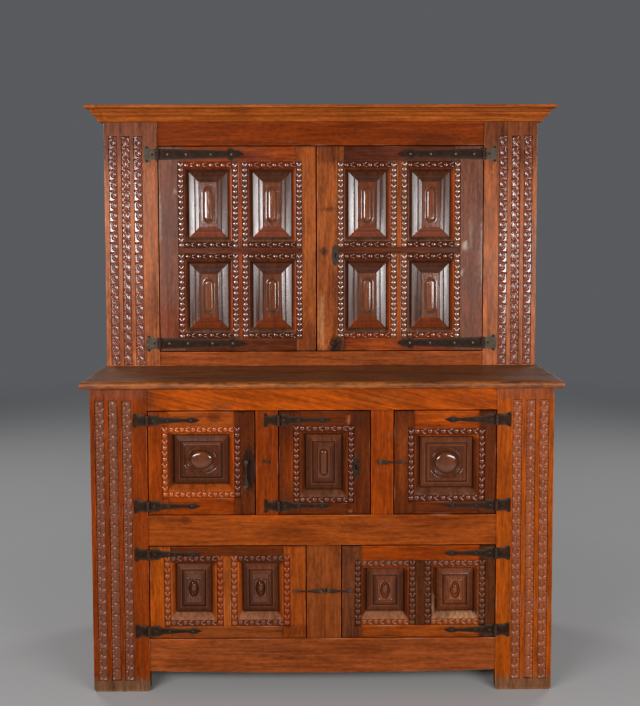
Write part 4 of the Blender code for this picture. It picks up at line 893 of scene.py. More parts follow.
def boss_field(half, end, level):
    """An oval boss, a ring standing off it, and raised corners, all by the distance from its middle."""
    def height(across, along, width, length, seed):
        distance = np.hypot(across / half, (along - length / 2) / (length / 2 - end))
        dome = np.sqrt(np.clip(1 - distance ** 4, 0, None))
        ring = 1.35 * level * np.exp(-((distance - 1.30) / 0.05) ** 2)
        corner = 1.3 * level * np.clip((distance - 1.52) / 0.05, 0, 1)
        floor = level * np.clip((distance - 1.04) / 0.1, 0.1, 1) * 0.8
        return np.maximum.reduce([0.9 * dome, ring, corner, floor])
    return height


def spandrel_field(half, tall, level):
    """A small upright oval between four raised corners, inside a grooved box."""
    def height(across, along, width, length, seed):
        rise = along - length / 2
        distance = np.hypot(across / half, rise / tall)
        box = np.maximum(np.abs(across) / (1.65 * half), np.abs(rise) / (1.40 * tall))
        oval = 0.55 * np.sqrt(np.clip(1 - (1.35 * distance) ** 2, 0, None))
        ring = 0.95 * np.exp(-((distance - 1.02) / 0.09) ** 2)
        corner = np.clip((distance - 1.36) / 0.08, 0, 1)
        line = 0.3 * np.exp(-((box - 1.12) / 0.05) ** 2)
        return np.where(box < 1, np.maximum.reduce([oval, ring, corner]), level + line)
    return height


# %% [markdown]
# ## What differs from door to door
# The doors were made by eye, so their stiles, rails and gaps are all a little different. A short table gives
# each door its margins, its panels and the tones of its members. Stains are listed with their place and size,
# because it is the odd dark corner or pale scratch that makes a door look used.

# %% Door sizes
Panel = namedtuple("Panel", "band side top sill field rise relief slopes")
FIELD_LEVEL, FIELD_FLOOR = 0.0046, 0.0076


def fielded(motif, half, end, rise, **sizes):
    """A panel's sizes and its relief, which is told the flat field's height as a share of its rise."""
    return Panel(relief=motif(half, end, (FIELD_FLOOR - FIELD_LEVEL) / rise), rise=rise, **sizes)


# The tones of a panel's bottom, right, top and left slopes: partly the wood's own, partly painted light and
# shade for how each slope faces the light
HIGH_SLOPES = ("chestnut", "walnut", "walnut", "walnut")
LOW_SLOPES = ("walnut", "walnut", "cocoa", "walnut")
WARM_SLOPES = ("cocoa", "cocoa", "cocoa", "cocoa")
DARK_SIDES = ("cocoa", "walnut", "cocoa", "walnut")
UPPER_PANEL = fielded(bar_field, 0.0152, 0.0205, rise=0.0064, band=0.022, side=0.016, top=0.014, sill=0.014,
                      field=0.069, slopes=HIGH_SLOPES)
BOSS_PANEL = fielded(boss_field, 0.038, 0.017, rise=0.0114, band=0.021, side=0.020, top=0.009, sill=0.025,
                     field=0.116, slopes=LOW_SLOPES)
WARM_BOSS_PANEL = BOSS_PANEL._replace(slopes=WARM_SLOPES)
CENTRE_PANEL = fielded(bar_field, 0.0105, 0.0120, rise=0.0060, band=0.020, side=0.021, top=0.011, sill=0.024,
                       field=0.046, slopes=LOW_SLOPES)
SMALL_PANEL = fielded(spandrel_field, 0.0115, 0.0205, rise=0.0060, band=0.022, side=0.018, top=0.008,
                      sill=0.025, field=0.055, slopes=LOW_SLOPES)
DARK_SMALL_PANEL = SMALL_PANEL._replace(slopes=DARK_SIDES)

Leaf = namedtuple("Leaf", "name left right bottom top columns rows gap_x gap_z panel")
# Each door: its plain margins, its columns and rows of panels, the gaps between them, and its panel
LEAVES = (
    Leaf("upper_left_door", 0.0690, 0.0495, 0.046, 0.055, 2, 2, 0.013, 0.021, UPPER_PANEL),
    Leaf("upper_right_door", 0.0760, 0.0810, 0.046, 0.055, 2, 2, 0.016, 0.021, UPPER_PANEL),
    Leaf("lower_left_door", 0.0450, 0.0475, 0.057, 0.052, 1, 1, 0.0, 0.0, BOSS_PANEL),
    Leaf("lower_centre_door", 0.0480, 0.0535, 0.038, 0.050, 1, 1, 0.0, 0.0, CENTRE_PANEL),
    Leaf("lower_right_door", 0.0460, 0.0370, 0.042, 0.061, 1, 1, 0.0, 0.0, WARM_BOSS_PANEL),
    Leaf("bottom_left_door", 0.0480, 0.0525, 0.041, 0.032, 2, 1, 0.025, 0.0, SMALL_PANEL),
    Leaf("bottom_right_door", 0.0430, 0.0320, 0.041, 0.051, 2, 1, 0.030, 0.0, DARK_SMALL_PANEL),
)
print("doors:", len(LEAVES), "panels:", sum(leaf.columns * leaf.rows for leaf in LEAVES))

# %% Door tones and stains
# The tones of a door's stiles, its bottom, top and cross members, its fields, sills, left chamfers and
# strips. A band or a right chamfer is as dark as the member that it is cut in, unless its own tone is given.
# The tones of the sills and of the left and right chamfers are painted light and shade, for how each faces the
# light. The four tones of the bands are those on the left, on the right, below and above each panel.
Members = namedtuple("Members", "left right bottom top cross field sill reveal strip band cheek",
                     defaults=("umber", "rust", (None,) * 4, None))
MEMBERS = {
    "upper_left_door": Members("plum", "copper", "umber", "chestnut", "umber", "cocoa", "dust", cheek="rust",
                               band=("plum", "plum", None, None)),
    "upper_right_door": Members("copper", "plum", "chestnut", "umber", "umber", "cocoa", "dust", cheek="rust",
                                strip="ginger", band=("fawn", "fawn", None, None)),
    "lower_left_door": Members("rust", "umber", "rust", "amber", "amber", "walnut", "amber", cheek="rust",
                               band=("ginger", None, "ginger", "ginger")),
    "lower_centre_door": Members("umber", "umber", "umber", "umber", "umber", "walnut", "mocha"),
    "lower_right_door": Members("umber", "umber", "umber", "rust", "umber", "walnut", "mocha",
                                band=(None, None, None, "umber")),
    "bottom_left_door": Members("ginger", "amber", "sienna", "umber", "amber", "walnut", "fawn", "amber",
                                "copper", ("sienna", "chestnut", "cocoa", "walnut")),
    "bottom_right_door": Members("cocoa", "walnut", "amber", "rust", "umber", "cocoa", "fawn", "umber",
                                 "walnut", ("walnut", "walnut", "sienna", "cocoa")),
}
STAINS = {
    "upper_left_door": (Stain((-0.587, 1.60), (0.008, 0.10), "bone", 0.3),
                        Stain((-0.528, 1.694), (0.007, 0.009), "bone", 0.55),
                        Stain((-0.545, 1.20), (0.06, 0.10), "chestnut", 0.6),
                        Stain((-0.048, 1.165), (0.050, 0.085), "umber", 0.65),
                        Stain((-0.12, 1.832), (0.10, 0.020), "honey", 0.7)),
    "upper_right_door": (Stain((0.010, 1.478), (0.018, 0.018), "soot", 0.75),
                         Stain((0.024, 1.631), (0.034, 0.009), "soot", 0.6),
                         Stain((0.059, 1.130), (0.040, 0.044), "soot", 1.0),
                         Stain((0.035, 1.836), (0.060, 0.052), "umber", 0.75),
                         Stain((0.523, 1.497), (0.011, 0.019), "bone", 0.8),
                         # These two long pale streaks near the outer edge are partly scuffs and partly painted
                         # sheen
                         Stain((0.582, 1.47), (0.007, 0.13), "bone", 0.30),
                         Stain((0.545, 1.54), (0.007, 0.07), "bone", 0.22),
                         Stain((0.058, 1.30), (0.034, 0.14), "umber", 0.45),
                         Stain((0.513, 1.401), (0.007, 0.013), "bone", 0.6),
                         Stain((0.18, 1.122), (0.115, 0.030), "honey", 0.9),
                         # A pale patch along the meeting edge: wear, and a painted highlight
                         Stain((0.000, 1.22), (0.013, 0.12), "chalk", 0.45)),
    "lower_left_door": (Stain((-0.243, 0.762), (0.030, 0.092), "soot", 0.95),
                        Stain((-0.36, 0.935), (0.030, 0.020), "umber", 0.7)),
    "lower_centre_door": (Stain((0.120, 0.925), (0.034, 0.036), "soot", 0.40),
                          Stain((0.088, 0.926), (0.006, 0.018), "sandal", 0.8),
                          Stain((0.094, 0.616), (0.008, 0.008), "sandal", 0.7),
                          Stain((-0.11, 0.78), (0.03, 0.11), "chestnut", 0.6)),
    "lower_right_door": (Stain((0.40, 0.930), (0.085, 0.028), "honey", 0.8),
                         Stain((0.268, 0.80), (0.020, 0.15), "amber", 0.45)),
    "bottom_left_door": (Stain((-0.08, 0.21), (0.07, 0.025), "umber", 0.6),
                         Stain((-0.41, 0.36), (0.075, 0.095), "soot", 0.14)),
    "bottom_right_door": (Stain((0.373, 0.296), (0.007, 0.042), "chalk", 0.55),
                          Stain((0.46, 0.36), (0.090, 0.10), "sienna", 0.45),
                          Stain((0.455, 0.256), (0.085, 0.012), "chalk", 0.6),
                          Stain((0.085, 0.46), (0.03, 0.035), "soot", 0.35)),
}
print("stains:", sum(len(blots) for blots in STAINS.values()))

# %% [markdown]
# ## Door frames
# A frame is boards that meet at square shoulders, so each keeps the grain of its own length. The band round a
# panel is four short runs, butted as the carver left them. Inside it a flat strip and a steep slope lead down
# to the panel. The slope that looks up is toned lighter, partly as painted light, and dark painted shadow
# lines run down beside the panel on the left and right.

# %% Door frames


def cells_of(leaf):
    """The outer boxes of a door's carved cells, worked out from its leaf and its plain margins."""
    low, high = NODE[leaf.name]
    width = (high.x - low.x - leaf.left - leaf.right - leaf.gap_x * (leaf.columns - 1)) / leaf.columns
    height = (high.z - low.z - leaf.bottom - leaf.top - leaf.gap_z * (leaf.rows - 1)) / leaf.rows
    boxes = []
    for row in range(leaf.rows):
        for column in range(leaf.columns):
            x0 = low.x + leaf.left + column * (width + leaf.gap_x)
            z0 = low.z + leaf.bottom + row * (height + leaf.gap_z)
            boxes.append((x0, x0 + width, z0, z0 + height))
    return boxes


BAND_FLOOR, BAND_RISE = 0.0050, 0.0047
BAND_PITCH = 0.0395
BAND_MOTIF = beads_and_petals(BAND_PITCH)
TALL_BAND_GRIME_AND_SHADE, LOW_BAND_GRIME_AND_SHADE, LEVEL_BAND_RUB = 0.30, 0.40, 0.56
LEAF_PLAY = 0.0010
DOOR_BACK = 0.030
PANEL_BACK = 0.024
BED = 0.0118
ARRIS, ARRIS_DROP = 0.0010, 0.0002
# The slope inside a band: its share of the way to the bed, its depth, and its wear, which may be given for
# the sides below, right, above and left; the low wear left and right darkens them as painted shadow lines
CHAMFER = (
    (0.34, 0.0012, 0.55),
    (0.74, 0.0074, (0.50, 0.36, 0.46, 0.36)),
    (0.88, 0.0098, (0.44, SOILED_AND_SHADED, 0.30, SOILED_AND_SHADED)),
    (0.96, BED - 0.0008, (0.26, SOILED_AND_SHADED, SOILED_AND_SHADED, SOILED_AND_SHADED)),
)


def tones_round(leaf, cell, cells):
    """The tones of the members left, right, below and above one cell."""
    members = MEMBERS[leaf.name]
    return (members.left if cell[0] < cells[0][0] + GRID else members.cross,
            members.right if cell[1] > cells[-1][1] - GRID else members.cross,
            members.bottom if cell[2] < cells[0][2] + GRID else members.cross,
            members.top if cell[3] > cells[-1][3] - GRID else members.cross)


def cell_boxes(cell, panel):
    """The inner edge of a cell's band, and the bed that its panel rises from."""
    edge = shrink(cell, panel.band)
    return edge, shrink(edge, panel.side, panel.sill, panel.top)


def chamfer_patch(edge, bed, colours, seed):
    """A frame's inner edge: a flat strip inside the band, then a steep slope down to the panel."""
    slope = [(between(edge, bed, share), depth, wear) for share, depth, wear in CHAMFER]
    steps = [(edge, DOOR_BACK, PLAIN), (edge, ARRIS, PLAIN), (shrink(edge, ARRIS), ARRIS_DROP, 0.72), *slope,
             (bed, BED, SOILED_AND_SHADED), (bed, DOOR_BACK, PLAIN)]
    return nested(steps, colours, seed, loop=True)


def frame_patches(leaf, seed):
    """The plain members of a door: stiles, rails, and the strips between its cells."""
    members = MEMBERS[leaf.name]
    low, high = NODE[leaf.name]
    left, right, bottom, top = shrink((low.x, high.x, low.z, high.z), LEAF_PLAY)
    cells = cells_of(leaf)
    x0, x1, z0, z1 = cells[0][0], cells[-1][1], cells[0][2], cells[-1][3]
    inner = x0 + leaf.panel.band, x1 - leaf.panel.band
    patches = [board(left, x0, bottom, top, DOOR_BACK, members.left, seed, eased=(True, False)),
               board(x1, right, bottom, top, DOOR_BACK, members.right, seed + 1, eased=(False, True))]
    for turn, (c, d, colour) in enumerate(((bottom, z0, members.bottom), (z1, top, members.top))):
        patches += [board(x0, inner[0], c, d, DOOR_BACK, members.left, seed, eased=(False, True)),
                    board(inner[1], x1, c, d, DOOR_BACK, members.right, seed + 1, eased=(True, False)),
                    board(*inner, c, d, DOOR_BACK, colour, seed + 2 + turn, True)]
    if leaf.rows > 1:
        patches.append(board(x0, x1, cells[0][3], cells[-1][2], DOOR_BACK, members.cross, seed + 4, True))
    for spot, cell in enumerate(cells):
        if cell[1] < x1 - GRID:
            strip = cell[1], cells[spot + 1][0], *cell[2:]
            patches.append(board(*strip, DOOR_BACK, members.strip, seed + 5 + spot))
        _, beside, _, upper = tones_round(leaf, cell, cells)
        # The chamfer's bottom, right, top and left tones are painted light and shade for how each side faces
        # the light
        colours = members.sill, members.cheek or beside, "umber" if leaf.rows > 1 else upper, members.reveal
        patches.append(chamfer_patch(*cell_boxes(cell, leaf.panel), colours, seed + spot))
    return patches


def band_patches(leaf, seed):
    """The carved band on each side of every cell."""
    cells, band, patches = cells_of(leaf), leaf.panel.band, []
    tall = leaf.rows > 1
    for spot, cell in enumerate(cells):
        a, b, c, d = cell
        boxes = ((a, a + band, c, d), (b - band, b, c, d),
                 (a + band, b - band, c, c + band), (a + band, b - band, d - band, d))
        sides = zip(boxes, MEMBERS[leaf.name].band, tones_round(leaf, cell, cells))
        for turn, (box, own, member) in enumerate(sides):
            level = turn > 1
            patches.append(carved_run(*shrink(box, SEAM / 2), BAND_FLOOR, BAND_RISE, DOOR_BACK, BAND_MOTIF,
                                      own or member, seed + 12 + 6 * spot + turn, level,
                                      low_wear=TALL_BAND_GRIME_AND_SHADE if tall else LOW_BAND_GRIME_AND_SHADE,
                                      high_wear=LEVEL_BAND_RUB if tall and level else RUBBED))
    return patches


print("carved bands:", sum(4 * len(cells_of(leaf)) for leaf in LEAVES))

# %% [markdown]
# ## Raised panels
# A panel sits loose in its frame and swells and shrinks there. Two slopes with a sunk line between them, the
# quirk, rise to a flat field. Rings on nested rectangles draw all of it with crisp mitres. The sharp ridges are
# painted pale as highlights, and the quirk and the edge of the bed are darkened as painted shadow lines.

# %% Raised panels
SLOPE_SHARE, QUIRK, QUIRK_DEPTH = 0.57, 0.0052, 0.0095
TONGUE, TONGUE_DROP = 0.004, 0.0015
RIDGE_HIGHLIGHT = 1.12
FIELD_RIM, FIELD_BACK = 0.0022, 0.0105


def raised_panel(bed, field_width, colours, seed):
    """A panel: two flat slopes with a sunk quirk between them rise from the bed to a flat field."""
    slope = (bed[1] - bed[0] - field_width) / 2
    first = SLOPE_SHARE * slope
    second = first + QUIRK
    rim = slope + FIELD_RIM
    # Ridges get a painted highlight; the quirk and the bed's edge get low wear, painted as shadow lines
    profile = (
        (-TONGUE, PANEL_BACK, PLAIN), (-TONGUE, BED + TONGUE_DROP, PLAIN),
        (0.0006, BED + TONGUE_DROP, SOILED_AND_SHADED), (0.0020, BED + 0.0005, 0.34),
        (first - 0.0012, 0.0074, PLAIN), (first, 0.0070, RIDGE_HIGHLIGHT), (first + 0.0008, QUIRK_DEPTH, 0.12),
        (second - 0.0006, QUIRK_DEPTH - 0.001, 0.2), (second, 0.0066, 0.40),
        (slope - 0.0010, 0.0042, PLAIN), (slope, 0.0039, RIDGE_HIGHLIGHT), (slope + 0.0007, 0.0056, 0.15),
        (slope + 0.0014, FIELD_LEVEL, 0.45), (rim, FIELD_LEVEL, PLAIN), (rim, 0.0110, SOILED_AND_SHADED))
    steps = [(shrink(bed, inset), depth, wear) for inset, depth, wear in profile]
    rows = [[colours[1]] * 4] + [list(colours)] * (len(steps) - 1)
    return nested(steps, rows, seed), shrink(bed, rim - SEAM)


def panel_patches(leaf, seed):
    """Each cell's raised panel and field."""
    members, panel, cells = MEMBERS[leaf.name], leaf.panel, cells_of(leaf)
    patches = []
    for spot, cell in enumerate(cells):
        here = seed + 9 * spot
        _, bed = cell_boxes(cell, panel)
        slopes, field = raised_panel(bed, panel.field, panel.slopes, here + 1)
        patches.append(slopes)
        patches.append(carved_run(*shrink(field, 2 * SEAM), FIELD_FLOOR, panel.rise, FIELD_BACK, panel.relief,
                                  members.field, here + 2, rim=0.0))
    return patches


for order, leaf in enumerate(LEAVES):
    face = face_of(leaf.name)
    seed = SEEDS["door"] + DOOR_SEED_STEP * order
    finishes = MATT, FADED if leaf.columns > 1 else DULLED, SATIN
    if leaf.rows > 1:
        finishes = WAXED, BEADED, POLISHED
    made = (("frame", frame_patches(leaf, seed), [leaf.name]), ("bands", band_patches(leaf, seed), []),
            ("panels", panel_patches(leaf, seed), []))
    for finish, (label, patches, nodes) in zip(finishes, made):
        patches = [on_front(patch, face) for patch in patches]
        for blot in STAINS[leaf.name]:
            patches = [stain(patch, *blot) for patch in patches]
        make_piece(f"{leaf.name}_{label}", patches, leaf.name, finish, nodes)

# %% [markdown]
# ## The waist board
# The waist board is the worktop: dull and scratched on top, pale where hands and trays have rubbed its round
# nosing. A bevel would round all of its edges, and the back one is square. So its outline shrinks with height
# as half an ellipse does, on three sides only.

# %% Waist board
NOSE = 0.011


def on_top(patch, level):
    """Local points laid flat: the third axis runs front to back, and depth downwards from z = level."""
    u, depth, v = patch.points.T
    return patch._replace(points=np.stack([u, v, level - depth], axis=-1))


def waist_patch(low, high):
    """Nested outlines from the underside, round the nosing and onto the top."""
    turn = np.radians(np.linspace(-90, 90, 11))
    middle = (high.z - low.z) / 2
    insets = np.concatenate([NOSE * (1 - np.cos(turn)), (0.013, 0.018, 0.030, 0.10)])
    depths = np.concatenate([middle * (1 - np.sin(turn)), np.zeros(4)])
    wears = np.concatenate([PLAIN + 0.2 * np.cos(turn), (0.9, 0.62, PLAIN, PLAIN)])
    steps = [((low.x + inset, high.x - inset, low.y + inset, high.y), depth, wear)
             for inset, depth, wear in zip(insets, depths, wears)]
    tones = [["umber"] * 4] * 2 + [["bronze"] * 4] * 9 + [["smoke"] * 4] * 4
    return nested(steps, tones, SEEDS["waist"], upright=False, smooth=True)


low, high = NODE["waist_top"]
waist = on_top(waist_patch(low, high), high.z)
make_piece("waist_board", [waist], "case", WORN_TOP, ["waist_top"])

# %% [markdown]
# ## The cornice
# The cornice is a moulding, planed as one long strip and mitred round the front and both ends. So its section
# is drawn once, and carried along a path of four corners; at a mitre it is stretched across both ways.

# %% Cornice
LEG_STEPS = 40
SEAT = 0.026
CORNICE_GRAIN = np.array((3.1, 5.2, 2.4))


def round_points(centre, radius, start, end, steps):
    """Points on an arc, its angles in degrees."""
    turn = np.radians(np.linspace(start, end, steps))
    return np.stack([centre[0] + radius * np.cos(turn), centre[1] + radius * np.sin(turn)], axis=-1)


def cornice_patch(low, high):
    """The section as (reach, height, wear): a slanted band, an ovolo, a cove and a lip, with quirks."""
    reach = high.x - UPPER_HALF
    tall = high.z - low.z
    ovolo = round_points((0.0255, 0.0305), 0.0105, -80, 0, 7)
    cove = round_points((0.0500, 0.0330), 0.0118, 180, 98, 6)
    section = np.array([
        (-SEAT, 0.0, PLAIN), (0.0136, 0.0, 0.35), (0.0144, 0.0007, 0.6), (0.0192, 0.0076, 0.58),
        (0.0222, 0.0150, 0.6), (0.0226, 0.0162, 0.3), (0.0242, 0.0166, 0.3), (0.0246, 0.0186, 0.6),
        (0.0262, 0.0192, 0.25),
        *[(r, h, 0.58) for r, h in ovolo], (0.0352, 0.0316, 0.18), (0.0372, 0.0322, 0.3),
        *[(r, h, 0.42) for r, h in cove], (0.0505, 0.0452, 0.2), (reach - 0.0024, 0.0454, 0.45),
        (reach - 0.0005, 0.0464, 0.72), (reach, 0.0480, 0.72), (reach, tall - 0.0020, 0.75),
        (reach - 0.0006, tall - 0.0006, 0.9), (reach - 0.0020, tall, 0.8), (-SEAT, tall, PLAIN)])
    out, rise, wear = section.T
    corners = [np.stack([side * (UPPER_HALF + out), UPPER_FACE - out if mitred else 0 * out + BACK_FACE,
                         low.z + rise], axis=-1)
               for side, mitred in ((-1, False), (-1, True), (1, True), (1, False))]
    share = np.linspace(0, 1, LEG_STEPS)[:, None, None]
    legs = [(first + (second - first) * share)[:-1] for first, second in zip(corners, corners[1:])]
    rings = np.concatenate([*legs, corners[-1][None]])
    path = np.where(np.abs(np.arange(len(rings)) - len(rings) / 2)[:, None] < LEG_STEPS / 2,
                    rings[..., 0], rings[..., 1])
    line = np.concatenate([[0], np.hypot(np.diff(out), np.diff(rise)).cumsum()])
    grain = np.stack(np.broadcast_arrays(path, line[None], np.zeros(path.shape)), axis=-1) + CORNICE_GRAIN
    return loft(rings, grain, TONES["copper"], wear)


make_piece("cornice_moulding", [cornice_patch(*NODE["cornice"])], "case", MATT, ["cornice"])

# %% [markdown]
# ## The ends
# The ends are framed like the doors but plain, with flat panels sunk behind a chamfer. They use the same
# boards and nested rectangles, turned to face sideways.

# %% Ends
END_THICKNESS = 0.025
END_FRAME = 0.085
END_SINK = 0.007
END_CLEARANCE = 0.070


def on_side(patch, side, half):
    """Local points on an end of the case: u runs front to back, and depth inwards from x = side * half."""
    u, depth, z = patch.points.T
    return patch._replace(points=np.stack([side * (half - depth), u, z], axis=-1))


def end_patches(front, z0, z1, panels, foot, seed):
    """Two uprights, level rails and sunk panels, with u running from the front to the back."""
    rear = BACK_FACE - END_FRAME
    fore = front + END_FRAME / 2
    patches = [board(front, fore, z0 + foot, z1, END_THICKNESS, "chestnut", seed),
               board(rear, BACK_FACE, z0, z1, END_THICKNESS, "chestnut", seed + 1)]
    levels = [z0 + foot, *[level for pair in panels for level in pair], z1]
    for spot, (a, b) in enumerate(zip(levels[::2], levels[1::2])):
        patches.append(board(fore, rear, a, b, END_THICKNESS, "umber", seed + 2 + spot, True))
    for spot, (a, b) in enumerate(panels):
        box = (fore, rear, a, b)
        bed = shrink(box, END_SINK)
        steps = [(box, END_THICKNESS, PLAIN), (box, ARRIS, 0.6), (shrink(box, ARRIS), 0.0003, 0.7),
                 (shrink(bed, -ARRIS), END_SINK - ARRIS, PLAIN), (bed, END_SINK, SOILED_AND_SHADED),
                 (shrink(bed, 0.004), END_SINK, 0.42), (shrink(bed, 0.03), END_SINK, PLAIN)]
        patches.append(nested(steps, ["umber"] * 4, seed + 8 + spot))
    return patches


def end_piece(name, side, half, face, panels, foot, seed):
    """One end of a case, behind its front upright."""
    low, high = NODE[name]
    patches = end_patches(face + FRONT_THICKNESS + SEAM, low.z, high.z, panels, foot, seed)
    patches = [on_side(patch, side, half) for patch in patches]
    make_piece(f"{name}_framed", patches, "case", MATT, [name])


upper_z0, upper_z1 = opening("upper_left_door")[2:]
upper_middle = (upper_z0 + upper_z1) / 2
UPPER_PANELS = [(upper_z0, upper_middle - END_FRAME / 2), (upper_middle + END_FRAME / 2, upper_z1)]
LOWER_PANELS = [opening("bottom_left_door")[2:], opening("lower_left_door")[2:]]
for seed, (label, side) in enumerate((("left", -1), ("right", 1))):
    end_piece(f"upper_{label}_side", side, UPPER_HALF, UPPER_FACE, UPPER_PANELS, 0.0,
              SEEDS["upper_end"] + SEED_STEP * seed)
    end_piece(f"lower_{label}_side", side, LOWER_HALF, LOWER_FACE, LOWER_PANELS, END_CLEARANCE,
              SEEDS["lower_end"] + SEED_STEP * seed)

# %% [markdown]
# ## The back
# The back is a row of rough planks, as on most pieces that stand against a wall. A sine moves each joint, so
# the planks are of uneven width, and they stay unwaxed.

# %% Back planks
PLANK, PLANK_DRIFT, PLANK_PHASE = 0.19, 0.018, 2.3


def on_back(patch, back):
    """Local points seen from behind: depth runs forwards from the plane y = back."""
    u, depth, z = patch.points.T
    return patch._replace(points=np.stack([u, back - depth, z], axis=-1))


for seed, name in enumerate(("upper_back", "lower_back")):
    low, high = NODE[name]
    count = round((high.x - low.x) / PLANK)
    edges = np.linspace(low.x, high.x, count + 1) + PLANK_DRIFT * np.sin(np.arange(count + 1) * PLANK_PHASE)
    edges[[0, -1]] = low.x, high.x
    first_seed = SEEDS["plank"] + SEED_STEP * seed
    planks = [board(a + SEAM, b - SEAM, low.z, high.z, high.y - low.y, "straw", first_seed + spot)
              for spot, (a, b) in enumerate(zip(edges, edges[1:]))]
    planks = [on_back(plank, high.y) for plank in planks]
    make_piece(f"{name}_planks", planks, "case", BARE, [name])

# %% [markdown]
# ## Inside boards
# Floors, shelf and top board are plain boards whose solids are already right. They keep their shape and take
# the bare wood finish, with the grain read straight from object space because it runs along x.

# %% Inside boards
INNER_NODES = ("lower_floor", "lower_middle_board", "upper_floor", "upper_shelf", "upper_top_board")


def dress(name, material):
    """Puts one material on a kept solid."""
    data = frame["nodes"][name].data
    data.materials.clear()
    data.materials.append(material)


INNER_WOOD = {"Tone": (*TONES["straw"], 1.0), "Wear": PLAIN, "Figure": 0.7, "Patina": 0.5, "Gloss": 0.62}
BARE_BOARD = in_object_space("bare_inner_boards", AGED_WOOD, "Grain", INNER_WOOD, 0.0012)
for name in INNER_NODES:
    dress(name, BARE_BOARD)
print("bare boards:", len(INNER_NODES))

# %% [markdown]
# ## Hinges
# Each door hangs on two forged hinges. A butterfly plate is nailed to the upright and ends in two knuckles;
# the long strap is nailed to the door and ends in the knuckle between them. Outlines are half heights along
# the strap, so a trefoil or a leaf is just a bulge in that curve. Edges fall away, as a hammer leaves them.

# %% Iron helpers
IRON_THICKNESS = 0.003
IRON_GAP = 0.0003
HINGE_NECK = 0.0085
KNUCKLE = 0.006
IRON_STEP = 0.0012
HAMMERED = 0.00035
THIN_HALF = 0.002
BEVEL_LINE = np.linspace(-1, 1, 11)
CROWN = 1 - 0.55 * np.abs(BEVEL_LINE) ** 5
NAIL_PROFILE = ((1.0, 0.0006), (0.92, -0.0008), (0.55, -0.0018), (0.12, -0.0021))
STRAP_NAIL, PLATE_NAIL = 0.0042, 0.0040
# A knuckle's wear greys it, partly as a painted highlight
BARREL_EASE, BARREL_WEAR = 0.0007, 0.62


def plate(along, half, centre, colour, seed, bow=None):
    """A forged plate: a half height at each station along it, and a face that falls away at its edges."""
    across = centre + half[:, None] * BEVEL_LINE
    hammer = HAMMERED * ripple(along, seed, 0.06)[:, None] * ripple(across, seed + 1, 0.03)
    depth = -IRON_GAP - (IRON_THICKNESS - hammer) * CROWN * np.clip(half / THIN_HALF, 0.15, 1)[:, None]
    # The falling edges are rubbed greyer, partly as a painted highlight
    wear = np.broadcast_to(PLAIN + 0.22 * np.abs(BEVEL_LINE) ** 4, across.shape)
    spots = along[:, None] + (0 if bow is None else bow)
    return carry(spots, across, depth, wear, -IRON_GAP, TONES[colour], seed, True)


def turned(radii, heights, centre, axis, colour="iron", wear=PLAIN, sides=14):
    """Circles of given radii stacked along an axis, 1 for depth or 2 for up, from a local centre."""
    turn = np.arange(sides) / sides * math.tau
    radii, heights = np.array(radii), np.array(heights)
    rings = np.zeros((len(radii), sides, 3))
    others = [spot for spot in range(3) if spot != axis]
    rings[..., others[0]] = radii[:, None] * np.cos(turn)
    rings[..., others[1]] = radii[:, None] * np.sin(turn)
    rings[..., axis] = heights[:, None]
    return loft(rings + np.array(centre), rings, TONES[colour], np.full(rings.shape[:2], wear))


def nail(x, z, colour, radius):
    """A hammered nail head: a low dome that stands on the plate, its circles shares of one radius."""
    shares, depths = np.array(NAIL_PROFILE).T
    return turned(radius * shares, depths - IRON_THICKNESS, (x, 0, z), 1, colour, sides=10)


def barrel(x, z0, z1):
    """An upright knuckle in front of the wood, with its two rims eased."""
    radii = (KNUCKLE - BARREL_EASE, KNUCKLE, KNUCKLE, KNUCKLE - BARREL_EASE)
    heights = (z0, z0 + BARREL_EASE, z1 - BARREL_EASE, z1)
    return turned(radii, heights, (x, -KNUCKLE - IRON_GAP, 0), 2, wear=BARREL_WEAR)


print("iron is", round(1000 * IRON_THICKNESS), "mm thick")

# %% Hinge outlines
Hinge = namedtuple("Hinge", "knuckle reach strap tip plate notch colour studs nails tip_nail")
# A strap's tip is listed backwards from its point; a plate is listed as shares of its reach from the knuckle
TREFOIL_TIP = ((0.078, 0.0135), (0.064, 0.0108), (0.055, 0.0215), (0.044, 0.0235), (0.036, 0.0138),
               (0.028, 0.0152), (0.020, 0.0140), (0.008, 0.0065), (0.0, 0.0005))
LEAF_TIP = ((0.048, 0.0050), (0.041, 0.0076), (0.029, 0.0106), (0.018, 0.0090), (0.006, 0.0035),
            (0.0, 0.0005))
BUTTERFLY = ((0, 0.0190), (0.25, 0.0190), (0.5, 0.0225), (0.78, 0.0300), (0.92, 0.0320), (1, 0.0275))
BLOCK = ((0, 0.0185), (0.2, 0.0200), (0.45, 0.0185), (0.7, 0.0225), (0.9, 0.0265), (1, 0.0225))
FISHTAIL = ((0, 0.0180), (0.2, 0.0185), (0.5, 0.0130), (0.75, 0.0190), (0.92, 0.0260), (1, 0.0235))
EVEN = ((0, 0.0205),)
STEPPED = ((0, 0.0195), (0.022, 0.0195), (0.027, 0.0160), (0.031, 0.0125))
UPPER_HINGE = Hinge(knuckle=0.042, reach=0.048, strap=EVEN, tip=TREFOIL_TIP, plate=BUTTERFLY, notch=-0.003,
                    colour="steel", studs="nickel", nails=(0.035, 0.102, 0.192), tip_nail=0.046)
LOWER_HINGE = Hinge(knuckle=0.036, reach=0.050, strap=STEPPED, tip=LEAF_TIP, plate=BLOCK, notch=0.006,
                    colour="iron", studs="pewter", nails=(0.020, 0.068), tip_nail=0.028)
CENTRE_HINGE = LOWER_HINGE._replace(plate=FISHTAIL, notch=0.017)
SHOULDER = 0.001
WING_INSET, END_INSET, NECK_NAIL = 0.0080, 0.009, 0.019


